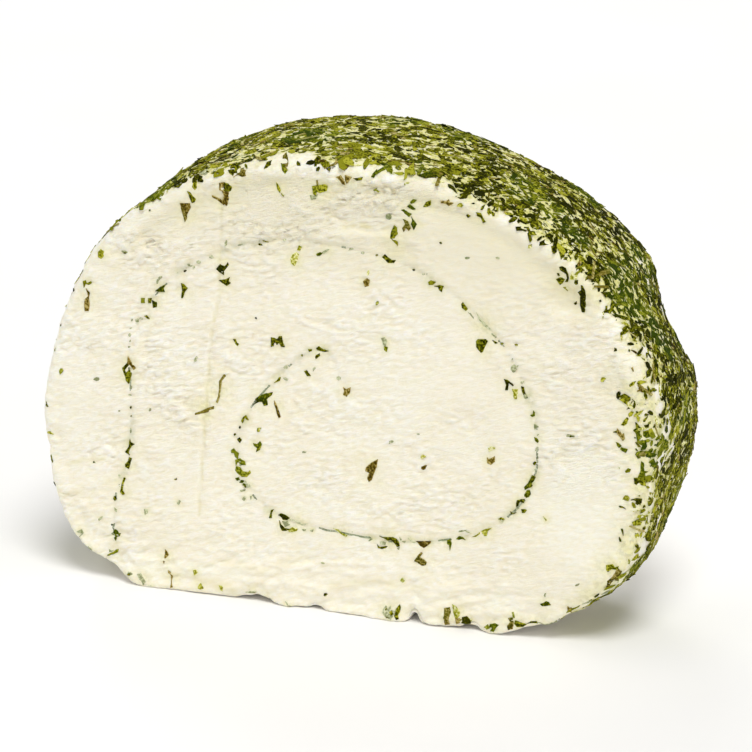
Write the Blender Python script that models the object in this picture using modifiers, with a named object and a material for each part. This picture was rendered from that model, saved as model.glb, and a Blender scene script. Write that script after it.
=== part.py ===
"""Herbed cheese roll: one piece cut across a soft cheese log that was rolled up with herbs.

The piece stands on its flattened underside. The log's axis runs along Y, the front cut face looks
along -Y, +X is to the right seen from the front and +Z is up. All lengths are in metres. The two
solids are the cheese, with a spiral slot right through it, and the herb layer that fills the slot.
"""

import math

import bmesh
import bpy
from mathutils import Vector

MM = 0.001

# The piece's depth along the log, measured at the middle of the section.
DEPTH = 23.0 * MM
# The back cut isn't square: how much deeper the piece is at its top and at its left edge.
DEPTH_MORE_AT_TOP = 1.5 * MM
DEPTH_MORE_AT_LEFT = 0.6 * MM
HALF_WIDTH = 46.0 * MM
MIDDLE_HEIGHT = 34.0 * MM

# The section's rounded side, from the right end of the flat base, over the top, to its left end.
# Each point is x and z, then how far the side swells out halfway along the log, how far it has
# drawn in at the back cut, and the radius of the worn rim where it meets a cut face.
SECTION = (
    (24.0, 0.0, 0.0, 0.0, 0.5),
    (29.8, 1.8, 0.3, 0.2, 0.8),
    (35.4, 5.2, 0.8, 0.4, 1.2),
    (42.1, 12.4, 1.2, 0.4, 1.6),
    (45.3, 22.0, 1.2, 0.2, 2.0),
    (46.0, 32.0, 1.3, 0.0, 2.2),
    (45.0, 42.2, 1.1, 0.5, 2.2),
    (39.6, 52.2, 0.9, 1.0, 2.2),
    (29.8, 60.9, 0.9, 1.4, 2.2),
    (16.3, 66.2, 0.9, 0.5, 2.2),
    (1.4, 67.8, 0.9, 0.0, 2.2),
    (-12.2, 67.0, 0.6, 0.6, 2.2),
    (-25.8, 62.1, 0.3, 1.4, 2.0),
    (-34.8, 55.2, 0.2, 1.6, 1.8),
    (-41.6, 44.6, 0.2, 1.4, 1.5),
    (-45.0, 34.0, 0.2, 1.2, 1.3),
    (-46.2, 25.5, 0.2, 1.0, 1.2),
    (-45.1, 15.6, 0.3, 0.8, 1.0),
    (-42.2, 7.4, 0.5, 0.6, 0.8),
    (-37.2, 3.1, 0.3, 0.4, 0.6),
    (-30.5, 0.0, 0.1, 0.2, 0.5),
)
STEPS_PER_POINT = 4
STEPS_ON_BASE = 12

# A hollow pressed into the back rim, high on the right.
DENT_CENTRE = (45.0 * MM, 43.5 * MM)
DENT_RADIUS = 7.5 * MM
DENT_DEPTH = 2.5 * MM
DENT_START = 0.3

# Where the sections stand along the log: as parts of the rim radius, then as parts of the depth.
RIM_STEPS = (0.0, 0.1, 0.3, 0.6, 1.0)
BARREL_STEPS = (0.2, 0.35, 0.5, 0.65, 0.8)
# Edges that turn by more than this are drawn sharp.
SHARP_ANGLE = math.radians(50)

# The herb layer's path on the cut face, from its outer end near the base, round to the middle.
SWIRL = (
    (-35.5, 6.5), (-35.0, 13.0), (-32.9, 20.0), (-32.3, 28.0), (-32.4, 35.5), (-30.6, 41.5),
    (-26.6, 47.3), (-20.6, 51.8), (-12.5, 55.0), (-4.0, 55.9), (4.0, 55.3), (12.0, 53.3),
    (19.6, 48.5), (25.6, 42.0), (28.8, 34.0), (29.2, 26.0), (26.2, 19.4), (19.6, 14.8),
    (10.0, 12.3), (0.0, 12.5), (-8.6, 13.5), (-14.2, 17.0), (-16.1, 22.5), (-14.6, 28.5),
    (-10.4, 34.2), (-6.0, 38.7), (-2.4, 40.0), (-0.6, 37.0), (0.9, 34.0),
)
SWIRL_STEPS = 5
LAYER_THICKNESS = 0.8 * MM
LAYER_GAP = 0.3 * MM
SLOT_WIDTH = LAYER_THICKNESS + 2 * LAYER_GAP
# The sheets that cut the slot and the layer stick out of the piece by this much at each face.
SHEET_OVERHANG = 4.0 * MM

CHEESE_COLOUR = (0.90, 0.87, 0.72, 1.0)
HERB_COLOUR = (0.10, 0.14, 0.02, 1.0)


def clear_scene():
    for obj in list(bpy.data.objects):
        bpy.data.objects.remove(obj, do_unlink=True)


def new_collection(name):
    collection = bpy.data.collections.new(name)
    bpy.context.scene.collection.children.link(collection)
    return collection


def make_material(name, colour, roughness):
    material = bpy.data.materials.new(name)
    material.use_nodes = True
    shader = material.node_tree.nodes["Principled BSDF"]
    shader.inputs["Base Color"].default_value = colour
    shader.inputs["Roughness"].default_value = roughness
    shader.inputs["Metallic"].default_value = 0.0
    return material


def smooth_path(points, steps):
    """Points of a Catmull-Rom curve through the given ones, both ends included."""
    first = points[0] * 2 - points[1]
    last = points[-1] * 2 - points[-2]
    run = [first, *points, last]
    path = []
    for before, start, end, after in zip(run, run[1:], run[2:], run[3:]):
        for step in range(steps):
            t = step / steps
            path.append(
                0.5 * (
                    start * 2
                    + (end - before) * t
                    + (before * 2 - start * 5 + end * 4 - after) * t ** 2
                    + (start * 3 - before - end * 3 + after) * t ** 3
                )
            )
    path.append(points[-1])
    return path


def section_points():
    """The closed outline: each entry is a vector of x, z, swell, taper and rim radius."""
    rows = [Vector(row) * MM for row in SECTION]
    side = smooth_path(rows, STEPS_PER_POINT)
    left, right = side[-1], side[0]
    base = [left.lerp(right, step / STEPS_ON_BASE) for step in range(1, STEPS_ON_BASE)]
    return side + base


def outward(points, index):
    """The unit normal of the outline, in X and Z, at one of its points."""
    along = points[(index + 1) % len(points)] - points[index - 1]
    return Vector((along[1], -along[0])).normalized()


def depth_at(x, z):
    """How far the back cut lies behind the front cut at this place on the section."""
    more = DEPTH_MORE_AT_TOP * (z - MIDDLE_HEIGHT) / MIDDLE_HEIGHT
    return DEPTH + more - DEPTH_MORE_AT_LEFT * x / HALF_WIDTH


def dent_at(x, z, part):
    """How far the hollow presses the side in, at a part of the way to the back cut."""
    reach = max(0.0, (part - DENT_START) / (1 - DENT_START))
    away = (Vector((x, z)) - Vector(DENT_CENTRE)).length / DENT_RADIUS
    return DENT_DEPTH * reach ** 2 * (3 - 2 * reach) * math.exp(-away * away)


def rim_inset(radius, distance):
    """How far a rounded rim stands back at a distance from its cut face."""
    left = max(0.0, radius - distance)
    return radius - math.sqrt(radius * radius - left * left)


def stations():
    """Where the sections stand along the log, each as (rim radii, parts of the depth) to add up."""
    front = [(step, 0.0) for step in RIM_STEPS]
    barrel = [(0.0, part) for part in BARREL_STEPS]
    back = [(-step, 1.0) for step in reversed(RIM_STEPS)]
    return front + barrel + back


def ring(outline, rim_radii, depth_part):
    """The section at one station, as points in space."""
    places = []
    for index, (x, z, swell, taper, rim) in enumerate(outline):
        depth = depth_at(x, z)
        distance = rim_radii * rim + depth_part * depth
        part = distance / depth
        offset = 4 * part * (1 - part) * swell - part * part * taper
        offset -= rim_inset(rim, min(distance, depth - distance)) + dent_at(x, z, part)
        push = outward(outline, index) * offset
        place_x = x + push.x
        place_z = max(0.0, z + push.y)
        places.append(Vector((place_x, part * depth_at(place_x, place_z), place_z)))
    return places


def cheese_mesh():
    """The piece as one closed solid, and the place of its bottom centre on the section's own axes."""
    outline = section_points()
    rings = [ring(outline, *station) for station in stations()]
    low = Vector(map(min, zip(*(place for places in rings for place in places))))
    high = Vector(map(max, zip(*(place for places in rings for place in places))))
    bottom_centre = Vector(((low.x + high.x) / 2, (low.y + high.y) / 2, low.z))

    solid = bmesh.new()
    loops = [[solid.verts.new(place - bottom_centre) for place in places] for places in rings]
    solid.faces.new(reversed(loops[0]))
    solid.faces.new(loops[-1])
    for near, far in zip(loops, loops[1:]):
        for index in range(len(outline)):
            following = (index + 1) % len(outline)
            solid.faces.new((near[index], near[following], far[following], far[index]))
    bmesh.ops.recalc_face_normals(solid, faces=solid.faces)
    mesh = bpy.data.meshes.new("cheese_roll")
    solid.to_mesh(mesh)
    solid.free()
    mesh.shade_smooth()
    mesh.set_sharp_from_angle(angle=SHARP_ANGLE)
    return mesh, bottom_centre


def swirl_sheet(name, thickness, bottom_centre, collection):
    """A sheet of the given thickness that follows the swirl, right through the piece."""
    curve = bpy.data.curves.new(name + "_path", "CURVE")
    curve.dimensions = "2D"
    curve.extrude = DEPTH / 2 + SHEET_OVERHANG
    curve.fill_mode = "NONE"
    path = smooth_path([Vector(point) * MM for point in SWIRL], SWIRL_STEPS)
    spline = curve.splines.new("POLY")
    spline.points.add(len(path) - 1)
    for point, place in zip(spline.points, path):
        point.co = (place.x - bottom_centre.x, place.y - bottom_centre.z, 0.0, 1.0)
    guide = bpy.data.objects.new(name + "_path", curve)
    collection.objects.link(guide)
    guide.rotation_euler = (math.pi / 2, 0.0, 0.0)
    bpy.context.view_layer.update()
    evaluated = guide.evaluated_get(bpy.context.evaluated_depsgraph_get())
    mesh = bpy.data.meshes.new_from_object(evaluated)
    mesh.transform(guide.matrix_world)
    bpy.data.objects.remove(guide, do_unlink=True)
    sheet = bpy.data.objects.new(name, mesh)
    collection.objects.link(sheet)
    wall = sheet.modifiers.new("thickness", "SOLIDIFY")
    wall.thickness = thickness
    wall.offset = 0.0
    wall.use_even_offset = True
    return sheet


def hide_cutter(obj):
    obj.hide_render = True
    obj.display_type = "WIRE"


def add_boolean(obj, name, operation, cutter):
    modifier = obj.modifiers.new(name, "BOOLEAN")
    modifier.operation = operation
    modifier.object = cutter
    modifier.solver = "EXACT"


def build():
    clear_scene()
    parts = new_collection("herbed_cheese_roll")
    cutters = new_collection("cutters")

    mesh, bottom_centre = cheese_mesh()
    cheese = bpy.data.objects.new("cheese_roll", mesh)
    parts.objects.link(cheese)
    mesh.materials.append(make_material("fresh cheese", CHEESE_COLOUR, 0.55))

    envelope = bpy.data.objects.new("piece_envelope", mesh.copy())
    cutters.objects.link(envelope)
    hide_cutter(envelope)

    slot = swirl_sheet("swirl_slot", SLOT_WIDTH, bottom_centre, cutters)
    hide_cutter(slot)
    add_boolean(cheese, "slot", "DIFFERENCE", slot)

    layer = swirl_sheet("herb_swirl", LAYER_THICKNESS, bottom_centre, parts)
    layer.data.materials.append(make_material("chopped herbs", HERB_COLOUR, 0.7))
    add_boolean(layer, "flush_with_cuts", "INTERSECT", envelope)


build()
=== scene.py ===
"""Herbed cheese roll: the looks of one thick piece cut across a log of soft white cheese.

The cheese was spread with chopped herbs and rolled up, so a thin herb layer winds through it, and
the log was then rolled in dried chopped herbs. The piece stands on its flattened underside. The
log's axis runs along Y, the front cut looks along -Y, +Z is up, and all lengths are in metres.
"""

import itertools
import logging
import math
from collections.abc import Iterable, Iterator, Sequence
from contextlib import contextmanager
from dataclasses import dataclass, field
from enum import Enum

import bpy
import numpy as np
from mathutils import Matrix, Vector
from mathutils.bvhtree import BVHTree
from mathutils.geometry import tessellate_polygon
from mathutils.kdtree import KDTree

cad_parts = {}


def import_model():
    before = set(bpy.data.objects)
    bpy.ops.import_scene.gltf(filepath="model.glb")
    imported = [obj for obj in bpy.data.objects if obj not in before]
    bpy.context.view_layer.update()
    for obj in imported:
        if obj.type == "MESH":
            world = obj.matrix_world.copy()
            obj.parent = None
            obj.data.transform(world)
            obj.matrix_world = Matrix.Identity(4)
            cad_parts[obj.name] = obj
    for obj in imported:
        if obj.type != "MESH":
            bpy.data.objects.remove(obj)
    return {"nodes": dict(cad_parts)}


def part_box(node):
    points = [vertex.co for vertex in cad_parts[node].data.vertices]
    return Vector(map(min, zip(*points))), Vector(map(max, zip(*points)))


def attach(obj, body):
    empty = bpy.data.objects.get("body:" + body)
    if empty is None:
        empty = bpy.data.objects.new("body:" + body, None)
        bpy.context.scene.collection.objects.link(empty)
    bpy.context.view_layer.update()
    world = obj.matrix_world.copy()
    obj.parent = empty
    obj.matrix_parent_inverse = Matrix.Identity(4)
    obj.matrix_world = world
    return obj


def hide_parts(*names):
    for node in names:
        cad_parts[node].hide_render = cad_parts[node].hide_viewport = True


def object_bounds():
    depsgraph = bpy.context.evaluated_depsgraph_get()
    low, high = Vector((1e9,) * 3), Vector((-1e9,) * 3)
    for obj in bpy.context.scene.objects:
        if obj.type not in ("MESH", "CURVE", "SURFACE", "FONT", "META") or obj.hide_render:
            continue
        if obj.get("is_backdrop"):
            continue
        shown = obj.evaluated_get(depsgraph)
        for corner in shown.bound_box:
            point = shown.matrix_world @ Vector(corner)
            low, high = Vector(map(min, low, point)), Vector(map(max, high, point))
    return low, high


log = logging.getLogger("herbed_cheese_roll")

Array = np.ndarray
Random = np.random.Generator
Socket = bpy.types.NodeSocket
Inputs = dict[str | int, object]
Triple = tuple[float, float, float]
Pixels = Iterable[tuple[float, float]]

MM = 0.001
TINY = 1e-9

# Sockets of the Mix node in its colour form.
MIX_FACTOR, MIX_A, MIX_B, MIX_RESULT = 0, 6, 7, 2

# The herb layer's path on the cut face in millimetres, from its outer end near the base, round to
# the middle, measured from the middle of the flat section.
SWIRL = (
    (-35.5, 6.5), (-35.0, 13.0), (-32.9, 20.0), (-32.3, 28.0), (-32.4, 35.5), (-30.6, 41.5),
    (-26.6, 47.3), (-20.6, 51.8), (-12.5, 55.0), (-4.0, 55.9), (4.0, 55.3), (12.0, 53.3),
    (19.6, 48.5), (25.6, 42.0), (28.8, 34.0), (29.2, 26.0), (26.2, 19.4), (19.6, 14.8),
    (10.0, 12.3), (0.0, 12.5), (-8.6, 13.5), (-14.2, 17.0), (-16.1, 22.5), (-14.6, 28.5),
    (-10.4, 34.2), (-6.0, 38.7), (-2.4, 40.0), (-0.6, 37.0), (0.9, 34.0),
)
SWIRL_STEPS = 20
# The middle of the piece's box lies this far to the right of the middle of the section, in mm.
BOX_MIDDLE = 0.42


class Herb(Enum):
    """The kinds of chopped herb on and in the cheese. Each becomes one joined piece."""

    DARK = "dark_leaves"
    OLIVE = "olive_leaves"
    FRESH = "yellow_green_leaves"
    BROWN = "brown_leaves"
    VEILED = "veiled_leaves"
    STEM = "stems"
    CRUMB = "leaf_crumbs"


def smooth_step(values: Array) -> Array:
    """Eases values from 0 to 1, and holds them there outside that range."""
    part = np.clip(values, 0.0, 1.0)
    return part * part * (3 - 2 * part)


def bell(distances: Array, reach: float) -> Array:
    """A share of 1 where the distance is nothing, which fades away past the reach."""
    return np.exp(-((distances / reach) ** 2))


def unit(rows: Array) -> Array:
    """Each row scaled to a length of 1."""
    return rows / np.maximum(np.linalg.norm(rows, axis=-1, keepdims=True), TINY)


def deselect_all() -> None:
    """Leaves nothing selected, in object mode."""
    if bpy.context.mode != "OBJECT":
        bpy.ops.object.mode_set(mode="OBJECT")
    bpy.ops.object.select_all(action="DESELECT")


def make_active(obj: bpy.types.Object) -> None:
    """Selects this object alone and makes it the active one."""
    deselect_all()
    obj.select_set(True)
    bpy.context.view_layer.objects.active = obj


@contextmanager
def editing(obj: bpy.types.Object) -> Iterator[None]:
    """Selects all of an object's mesh in edit mode, and ends in object mode."""
    make_active(obj)
    bpy.ops.object.mode_set(mode="EDIT")
    bpy.ops.mesh.select_all(action="SELECT")
    yield
    bpy.ops.object.mode_set(mode="OBJECT")


def apply_modifier(obj: bpy.types.Object, kind: str, **settings: object) -> None:
    """Adds a modifier and applies it.

    Args:
        obj: The object, which becomes the active one.
        kind: The modifier's type.
        settings: Its settings by name.
    """
    make_active(obj)
    modifier = obj.modifiers.new(kind.lower(), kind)
    for name, value in settings.items():
        setattr(modifier, name, value)
    bpy.ops.object.modifier_apply(modifier=modifier.name)


def read_places(mesh: bpy.types.Mesh) -> Array:
    """The mesh's points, one row each."""
    places = np.empty(len(mesh.vertices) * 3)
    mesh.vertices.foreach_get("co", places)
    return places.reshape(-1, 3)


def read_normals(mesh: bpy.types.Mesh) -> Array:
    """The normal at each of the mesh's points, one row each."""
    normals = np.empty(len(mesh.vertices) * 3)
    mesh.vertices.foreach_get("normal", normals)
    return normals.reshape(-1, 3)


def take_triangles(shape: bpy.types.Object) -> tuple[Array, Array]:
    """Cuts a closed shape into triangles and takes it out of the scene.

    Args:
        shape: The shape, which is removed.

    Returns:
        Its points, one row each, and its triangles, one row each.
    """
    with editing(shape):
        bpy.ops.mesh.quads_convert_to_tris()
        bpy.ops.mesh.normals_make_consistent(inside=False)
    places = read_places(shape.data)
    triangles = np.array([polygon.vertices[:] for polygon in shape.data.polygons])
    bpy.data.objects.remove(shape, do_unlink=True)
    return places, triangles


def write_places(mesh: bpy.types.Mesh, places: Array) -> None:
    """Moves the mesh's points to these places."""
    mesh.vertices.foreach_set("co", places.ravel())
    mesh.update()


def write_attribute(mesh: bpy.types.Mesh, name: str, values: Array) -> None:
    """Stores one number for each point of the mesh, for the materials to read."""
    attribute = mesh.attributes.new(name, "FLOAT", "POINT")
    attribute.data.foreach_set("value", values.astype(np.float32))


class Noise:
    """Smooth seeded noise in space, from -1 to 1."""

    CELLS = 48

    def __init__(self, seed: int) -> None:
        """Fills the lattice from the seed."""
        self.lattice = np.random.default_rng(seed).uniform(-1, 1, (self.CELLS,) * 3)

    def at(self, places: Array, cell: Triple) -> Array:
        """The noise at each place.

        Args:
            places: Points in metres, one row each.
            cell: The size of the noise along X, Y and Z, in millimetres.

        Returns:
            One value for each place.
        """
        steps = places / (np.array(cell) * MM)
        low = np.floor(steps).astype(int)
        part = smooth_step(steps - low)
        total = np.zeros(len(places))
        for corner in itertools.product((0, 1), repeat=3):
            weight = np.prod(np.where(corner, part, 1 - part), axis=1)
            index = (low + corner) % self.CELLS
            total += weight * self.lattice[index[:, 0], index[:, 1], index[:, 2]]
        return total


@dataclass(frozen=True)
class Swell:
    """Smooth unevenness of a surface: the noise's seed and cell size, and the height in mm."""

    seed: int
    cell: Triple
    height_mm: float

    def lift(self, places: Array) -> Array:
        """How far it lifts each point, in metres."""
        return self.height_mm * MM * Noise(self.seed).at(places, self.cell)


def uneven(swells: Sequence[Swell], places: Array) -> Array:
    """How far several swells together lift each point, in metres."""
    return sum(swell.lift(places) for swell in swells)


@dataclass(frozen=True)
class PhotoCamera:
    """The camera that took the picture, found from the outline and both visible sides."""

    azimuth: float = math.radians(20.0)
    elevation: float = math.radians(20.0)
    distance: float = 850.2 * MM
    target: Triple = (4.88 * MM, -12.243 * MM, 37.15 * MM)
    lens: float = 287.23
    sensor: float = 36.0
    picture: int = 752

    def axes(self) -> tuple[Vector, Vector, Vector]:
        """The directions to the picture's right, to its top and back to the camera."""
        sin_a, cos_a = math.sin(self.azimuth), math.cos(self.azimuth)
        sin_e, cos_e = math.sin(self.elevation), math.cos(self.elevation)
        right = Vector((cos_a, sin_a, 0.0))
        top = Vector((-sin_a * sin_e, cos_a * sin_e, cos_e))
        back = Vector((sin_a * cos_e, -cos_a * cos_e, sin_e))
        return right, top, back

    def place(self) -> Vector:
        """Where the camera stands."""
        return Vector(self.target) + self.axes()[2] * self.distance

    def ray(self, column: float, row: float) -> Vector:
        """The direction in which the camera sees a pixel of the picture."""
        right, top, back = self.axes()
        per_pixel = self.sensor / self.lens / self.picture
        middle = self.picture / 2
        across = right * ((column - middle) * per_pixel)
        up = top * ((middle - row) * per_pixel)
        return (across + up - back).normalized()

    def on_cut(self, column: float, row: float) -> tuple[float, float]:
        """The X and Z at which a pixel's ray meets the plane of the front cut."""
        start, ray = self.place(), self.ray(column, row)
        reach = (self.target[1] - start.y) / ray.y
        met = start + ray * reach
        return met.x, met.z

    def turn_in_picture(self, places: Array) -> Array:
        """Where each point lies round the middle of the picture, in degrees anticlockwise."""
        right, top, back = (np.array(axis) for axis in self.axes())
        away = places - np.array(self.place())
        depth = -(away @ back)
        return np.degrees(np.arctan2(away @ top / depth, away @ right / depth)) % 360

    def line_on_cut(self, pixels: Pixels) -> Array:
        """The X and Z of several pixels on the plane of the front cut, one row each."""
        return np.array([self.on_cut(*pixel) for pixel in pixels])

    def build(self) -> None:
        """Adds the camera and makes it the scene's."""
        right, top, back = self.axes()
        turned = Matrix((right, top, back)).transposed()
        deselect_all()
        bpy.ops.object.camera_add(location=self.place(), rotation=turned.to_euler())
        camera = bpy.context.object
        camera.name = "photo_camera"
        camera.data.lens = self.lens
        camera.data.sensor_width = self.sensor
        camera.data.clip_start = 10 * MM
        camera.data.clip_end = 100.0
        bpy.context.scene.camera = camera


def linear(colour: str) -> tuple[float, float, float, float]:
    """Turns an sRGB hex colour such as #F2EDD7 into linear values with full opacity."""
    parts = [int(colour[start:start + 2], 16) / 255 for start in (1, 3, 5)]
    bent = [((part + 0.055) / 1.055) ** 2.4 if part > 0.04045 else part / 12.92 for part in parts]
    return bent[0], bent[1], bent[2], 1.0


def add_node(
    tree: bpy.types.NodeTree, kind: str, output: str | int, inputs: Inputs, **settings: object
) -> Socket:
    """Adds a node with its settings and links.

    Args:
        tree: The node tree to add to.
        kind: The node's type, without the words ShaderNode.
        output: The name or number of the output that is wanted.
        inputs: Values for its inputs, or sockets to link to them, by name or number.
        settings: Values of the node's own properties by name.

    Returns:
        The output.
    """
    node = tree.nodes.new("ShaderNode" + kind)
    for name, value in settings.items():
        setattr(node, name, value)
    for name, value in inputs.items():
        if isinstance(value, Socket):
            tree.links.new(value, node.inputs[name])
        else:
            node.inputs[name].default_value = value
    return node.outputs[output]


def per_metre(size_mm: float) -> float:
    """The Scale of a noise node that gives features of this size in millimetres."""
    return 1 / (size_mm * MM)


@dataclass(frozen=True)
class Tint:
    """A colour that lies over a surface's own, with this share at most.

    It shows as strongly as an attribute of the mesh says, if one is named, and where a level is high.
    The level is noise with features of this size, or one that it is given, and is spread from 0 at
    low to 1 at high.
    """

    colour: str
    share: float = 1.0
    attribute: str = ""
    noise_mm: float = 0.0
    detail: float = 2.0
    low: float = 0.0
    high: float = 1.0


class Surface:
    """A material under construction: its node tree, its Principled shader and its colour so far."""

    def __init__(self, name: str, colour: str, roughness: float, specular: float) -> None:
        """Starts a material of this name with plain values on the shader's own sockets.

        Args:
            name: What it is and how its surface was made.
            colour: Its own colour, under all tints, in hex.
            roughness: The shader's roughness.
            specular: The shader's level of gloss.
        """
        self.material = bpy.data.materials.new(name)
        self.material.use_nodes = True
        self.tree = self.material.node_tree
        self.shader = self.tree.nodes["Principled BSDF"]
        self.shader.inputs["Roughness"].default_value = roughness
        self.shader.inputs["Specular IOR Level"].default_value = specular
        self.place = self.add("TexCoord", "Object", {})
        self.colour = linear(colour)

    def add(self, kind: str, output: str | int, inputs: Inputs, **settings: object) -> Socket:
        """Adds a node to this material, as add_node does."""
        return add_node(self.tree, kind, output, inputs, **settings)

    def tint(self, tint: Tint, level: Socket | None = None) -> None:
        """Lays a tint over the colour so far.

        Args:
            tint: The tint.
            level: The level that it spreads, if that isn't its own noise.
        """
        shares = [] if tint.share == 1 else [tint.share]
        if tint.attribute:
            shares.insert(0, self.add("Attribute", "Fac", {}, attribute_name=tint.attribute))
        if tint.noise_mm:
            inputs = {"Vector": self.place, "Scale": per_metre(tint.noise_mm), "Detail": tint.detail}
            level = self.add("TexNoise", "Fac", inputs)
        if level is not None:
            inputs = {"Value": level, "From Min": tint.low, "From Max": tint.high}
            shares.insert(0, self.add("MapRange", "Result", inputs, interpolation_type="SMOOTHSTEP"))
        share = shares[0]
        for other in shares[1:]:
            share = self.add("Math", "Value", {0: share, 1: other}, operation="MULTIPLY")
        inputs = {MIX_FACTOR: share, MIX_A: self.colour, MIX_B: linear(tint.colour)}
        self.colour = self.add("Mix", MIX_RESULT, inputs, data_type="RGBA")

    def finish(self, height: Socket, depth_mm: float, strength: float) -> bpy.types.Material:
        """Links the colour and dents the shading.

        Args:
            height: A value whose ups and downs dent the shading.
            depth_mm: How many millimetres it stands for.
            strength: How strongly it shows.

        Returns:
            The finished material.
        """
        inputs = {"Height": height, "Distance": depth_mm * MM, "Strength": strength}
        self.tree.links.new(self.add("Bump", "Normal", inputs), self.shader.inputs["Normal"])
        self.tree.links.new(self.colour, self.shader.inputs["Base Color"])
        return self.material


@dataclass(frozen=True)
class SoftCheese:
    """Soft fresh cheese, whipped, pressed and cut with a knife.

    Light sinks a little way in, so the surface looks creamy and its ridges stay soft. It is moist
    without being glossy. Painted shade darkens and yellows the hollows between the ridges, the top,
    a little of the right and the trough under the rim, and painted highlight whitens the rim, the
    lower right and places along the bottom. Herb juice has tinted the cheese beside the herb layer
    and under the coat. Whey has dried in yellowish marks, some of which are painted shade.
    """

    name: str = "soft fresh cheese, knife cut"
    cream: str = "#FAF5E9"
    # Paler clouds, buttery curds, painted shade towards the top and under the rim, painted highlight,
    # herb stains, dried whey marks that are partly painted shade, painted shade in the valleys, and herb
    # dust and smears.
    tints: tuple[Tint, ...] = (
        Tint("#FCF8EE", noise_mm=9.0, low=0.35, high=0.65),
        Tint("#F5EFD9", 0.35, noise_mm=0.9, detail=3.0, low=0.5, high=0.75),
        Tint("#E3DFC8", attribute="painted_shade"),
        Tint("#FFFDF4", attribute="painted_highlight"),
        Tint("#B9BD9C", attribute="stain", noise_mm=0.9, detail=3.0, low=0.25, high=0.6),
        Tint("#DDD5A2", attribute="whey_and_shade"),
        Tint("#EFE4BC", 0.42, attribute="painted_valley_shade"),
        Tint("#E2DE86", attribute="coat", noise_mm=0.9, detail=3.0, low=0.1, high=0.6),
        Tint("#74761E", 0.4, attribute="coat", noise_mm=0.6, detail=3.0, low=0.48, high=0.58),
    )
    # Painted shade: the hollows of the grain are darkened and yellowed.
    painted_hollow_shade: Tint = Tint("#EFE4BC", 0.22, low=0.72, high=0.56)
    roughness: float = 0.55
    specular: float = 0.35
    # The grain rises to the right by this much, as the ripples do, and is drawn out along them.
    grain_mm: float = 0.24
    rise: float = math.radians(20)
    grain_stretch: Triple = (0.28, 1.0, 1.0)
    grit_mm: float = 0.16
    grit_share: float = 0.35
    bump_mm: float = 0.13
    bump_strength: float = 0.75
    # How much of the light sinks in, and how far its red, green and blue get.
    sink_share: float = 0.4
    sink: Triple = (1.0, 0.85, 0.55)
    sink_mm: float = 0.3

    def make(self) -> bpy.types.Material:
        """Builds the material.

        Returns:
            The material.
        """
        surface = Surface(self.name, self.cream, self.roughness, self.specular)
        shader = surface.shader.inputs
        shader["Subsurface Weight"].default_value = self.sink_share
        shader["Subsurface Radius"].default_value = self.sink
        shader["Subsurface Scale"].default_value = self.sink_mm * MM
        for tint in self.tints:
            surface.tint(tint)
        turned = {"Vector": surface.place, "Angle": self.rise}
        level = surface.add("VectorRotate", "Vector", turned, rotation_type="Y_AXIS")
        drawn = surface.add("Mapping", "Vector", {"Vector": level, "Scale": self.grain_stretch})
        size = {"Scale": per_metre(self.grain_mm), "Detail": 1.0}
        grain = surface.add("TexNoise", "Fac", {"Vector": drawn} | size)
        size = {"Scale": per_metre(self.grit_mm), "Detail": 2.0}
        grit = surface.add("TexNoise", "Fac", {"Vector": surface.place} | size)
        inputs = {0: grit, 1: self.grit_share, 2: grain}
        height = surface.add("Math", "Value", inputs, operation="MULTIPLY_ADD")
        # Painted shade in the hollows of the grain.
        surface.tint(self.painted_hollow_shade, height)
        inputs = {0: height, 1: surface.add("Attribute", "Fac", {}, attribute_name="rough")}
        rough = surface.add("Math", "Value", inputs, operation="MULTIPLY")
        return surface.finish(rough, self.bump_mm, self.bump_strength)


@dataclass(frozen=True)
class DriedHerb:
    """Chopped herb, dried or soaked in cheese: matte leaf with a dull sheen on its flat sides.

    Each bit has its own tone, from the shaded colour to the light one, and is mottled within. Here and
    there the herbs have kept more of their green.
    """

    name: str
    shaded: str
    middle: str
    light: str
    fresher: Tint = Tint("#4C6812", 0.35, noise_mm=9.0, low=0.5, high=0.65)
    roughness: float = 0.75
    specular: float = 0.03
    mottle_mm: float = 0.32
    # How far the mottling swings the tone.
    mottling: float = 3.6
    bump_mm: float = 0.18
    bump_strength: float = 0.9

    def make(self) -> bpy.types.Material:
        """Builds the material.

        Returns:
            The material.
        """
        surface = Surface(self.name, self.shaded, self.roughness, self.specular)
        inputs = {"Vector": surface.place, "Scale": per_metre(self.mottle_mm), "Detail": 3.0}
        mottle = surface.add("TexNoise", "Fac", inputs)
        inputs = {0: mottle, 1: self.mottling, 2: -self.mottling / 2}
        swing = surface.add("Math", "Value", inputs, operation="MULTIPLY_ADD")
        tone = surface.add("Attribute", "Fac", {}, attribute_name="tone")
        tone = surface.add("Math", "Value", {0: tone, 1: swing})
        surface.tint(Tint(self.middle, high=0.5), tone)
        surface.tint(Tint(self.light, low=0.5), tone)
        surface.tint(self.fresher)
        return surface.finish(mottle, self.bump_mm, self.bump_strength)


HERB_FINISHES = {
    Herb.DARK: DriedHerb("dried parsley leaf, dark", "#222401", "#464800", "#8A8A1C"),
    Herb.OLIVE: DriedHerb("dried parsley leaf, olive", "#363801", "#666801", "#B2B036"),
    Herb.FRESH: DriedHerb("dried chive, yellow green", "#80821A", "#C2C050", "#F2EFB8"),
    Herb.BROWN: DriedHerb("dried leaf, browned", "#43360A", "#756420", "#B8A662"),
    Herb.VEILED: DriedHerb("leaf under a film of cheese", "#949870", "#BCBF98", "#DADAB8"),
    Herb.STEM: DriedHerb("dried herb stalk", "#6E6420", "#928640", "#B8AE70"),
    Herb.CRUMB: DriedHerb("rubbed herb crumbs", "#2A3206", "#5A6014", "#949640"),
}
PRESSED_HERBS = DriedHerb("pressed herb layer", "#7C8268", "#A2A78C", "#C2C6AC")


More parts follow.
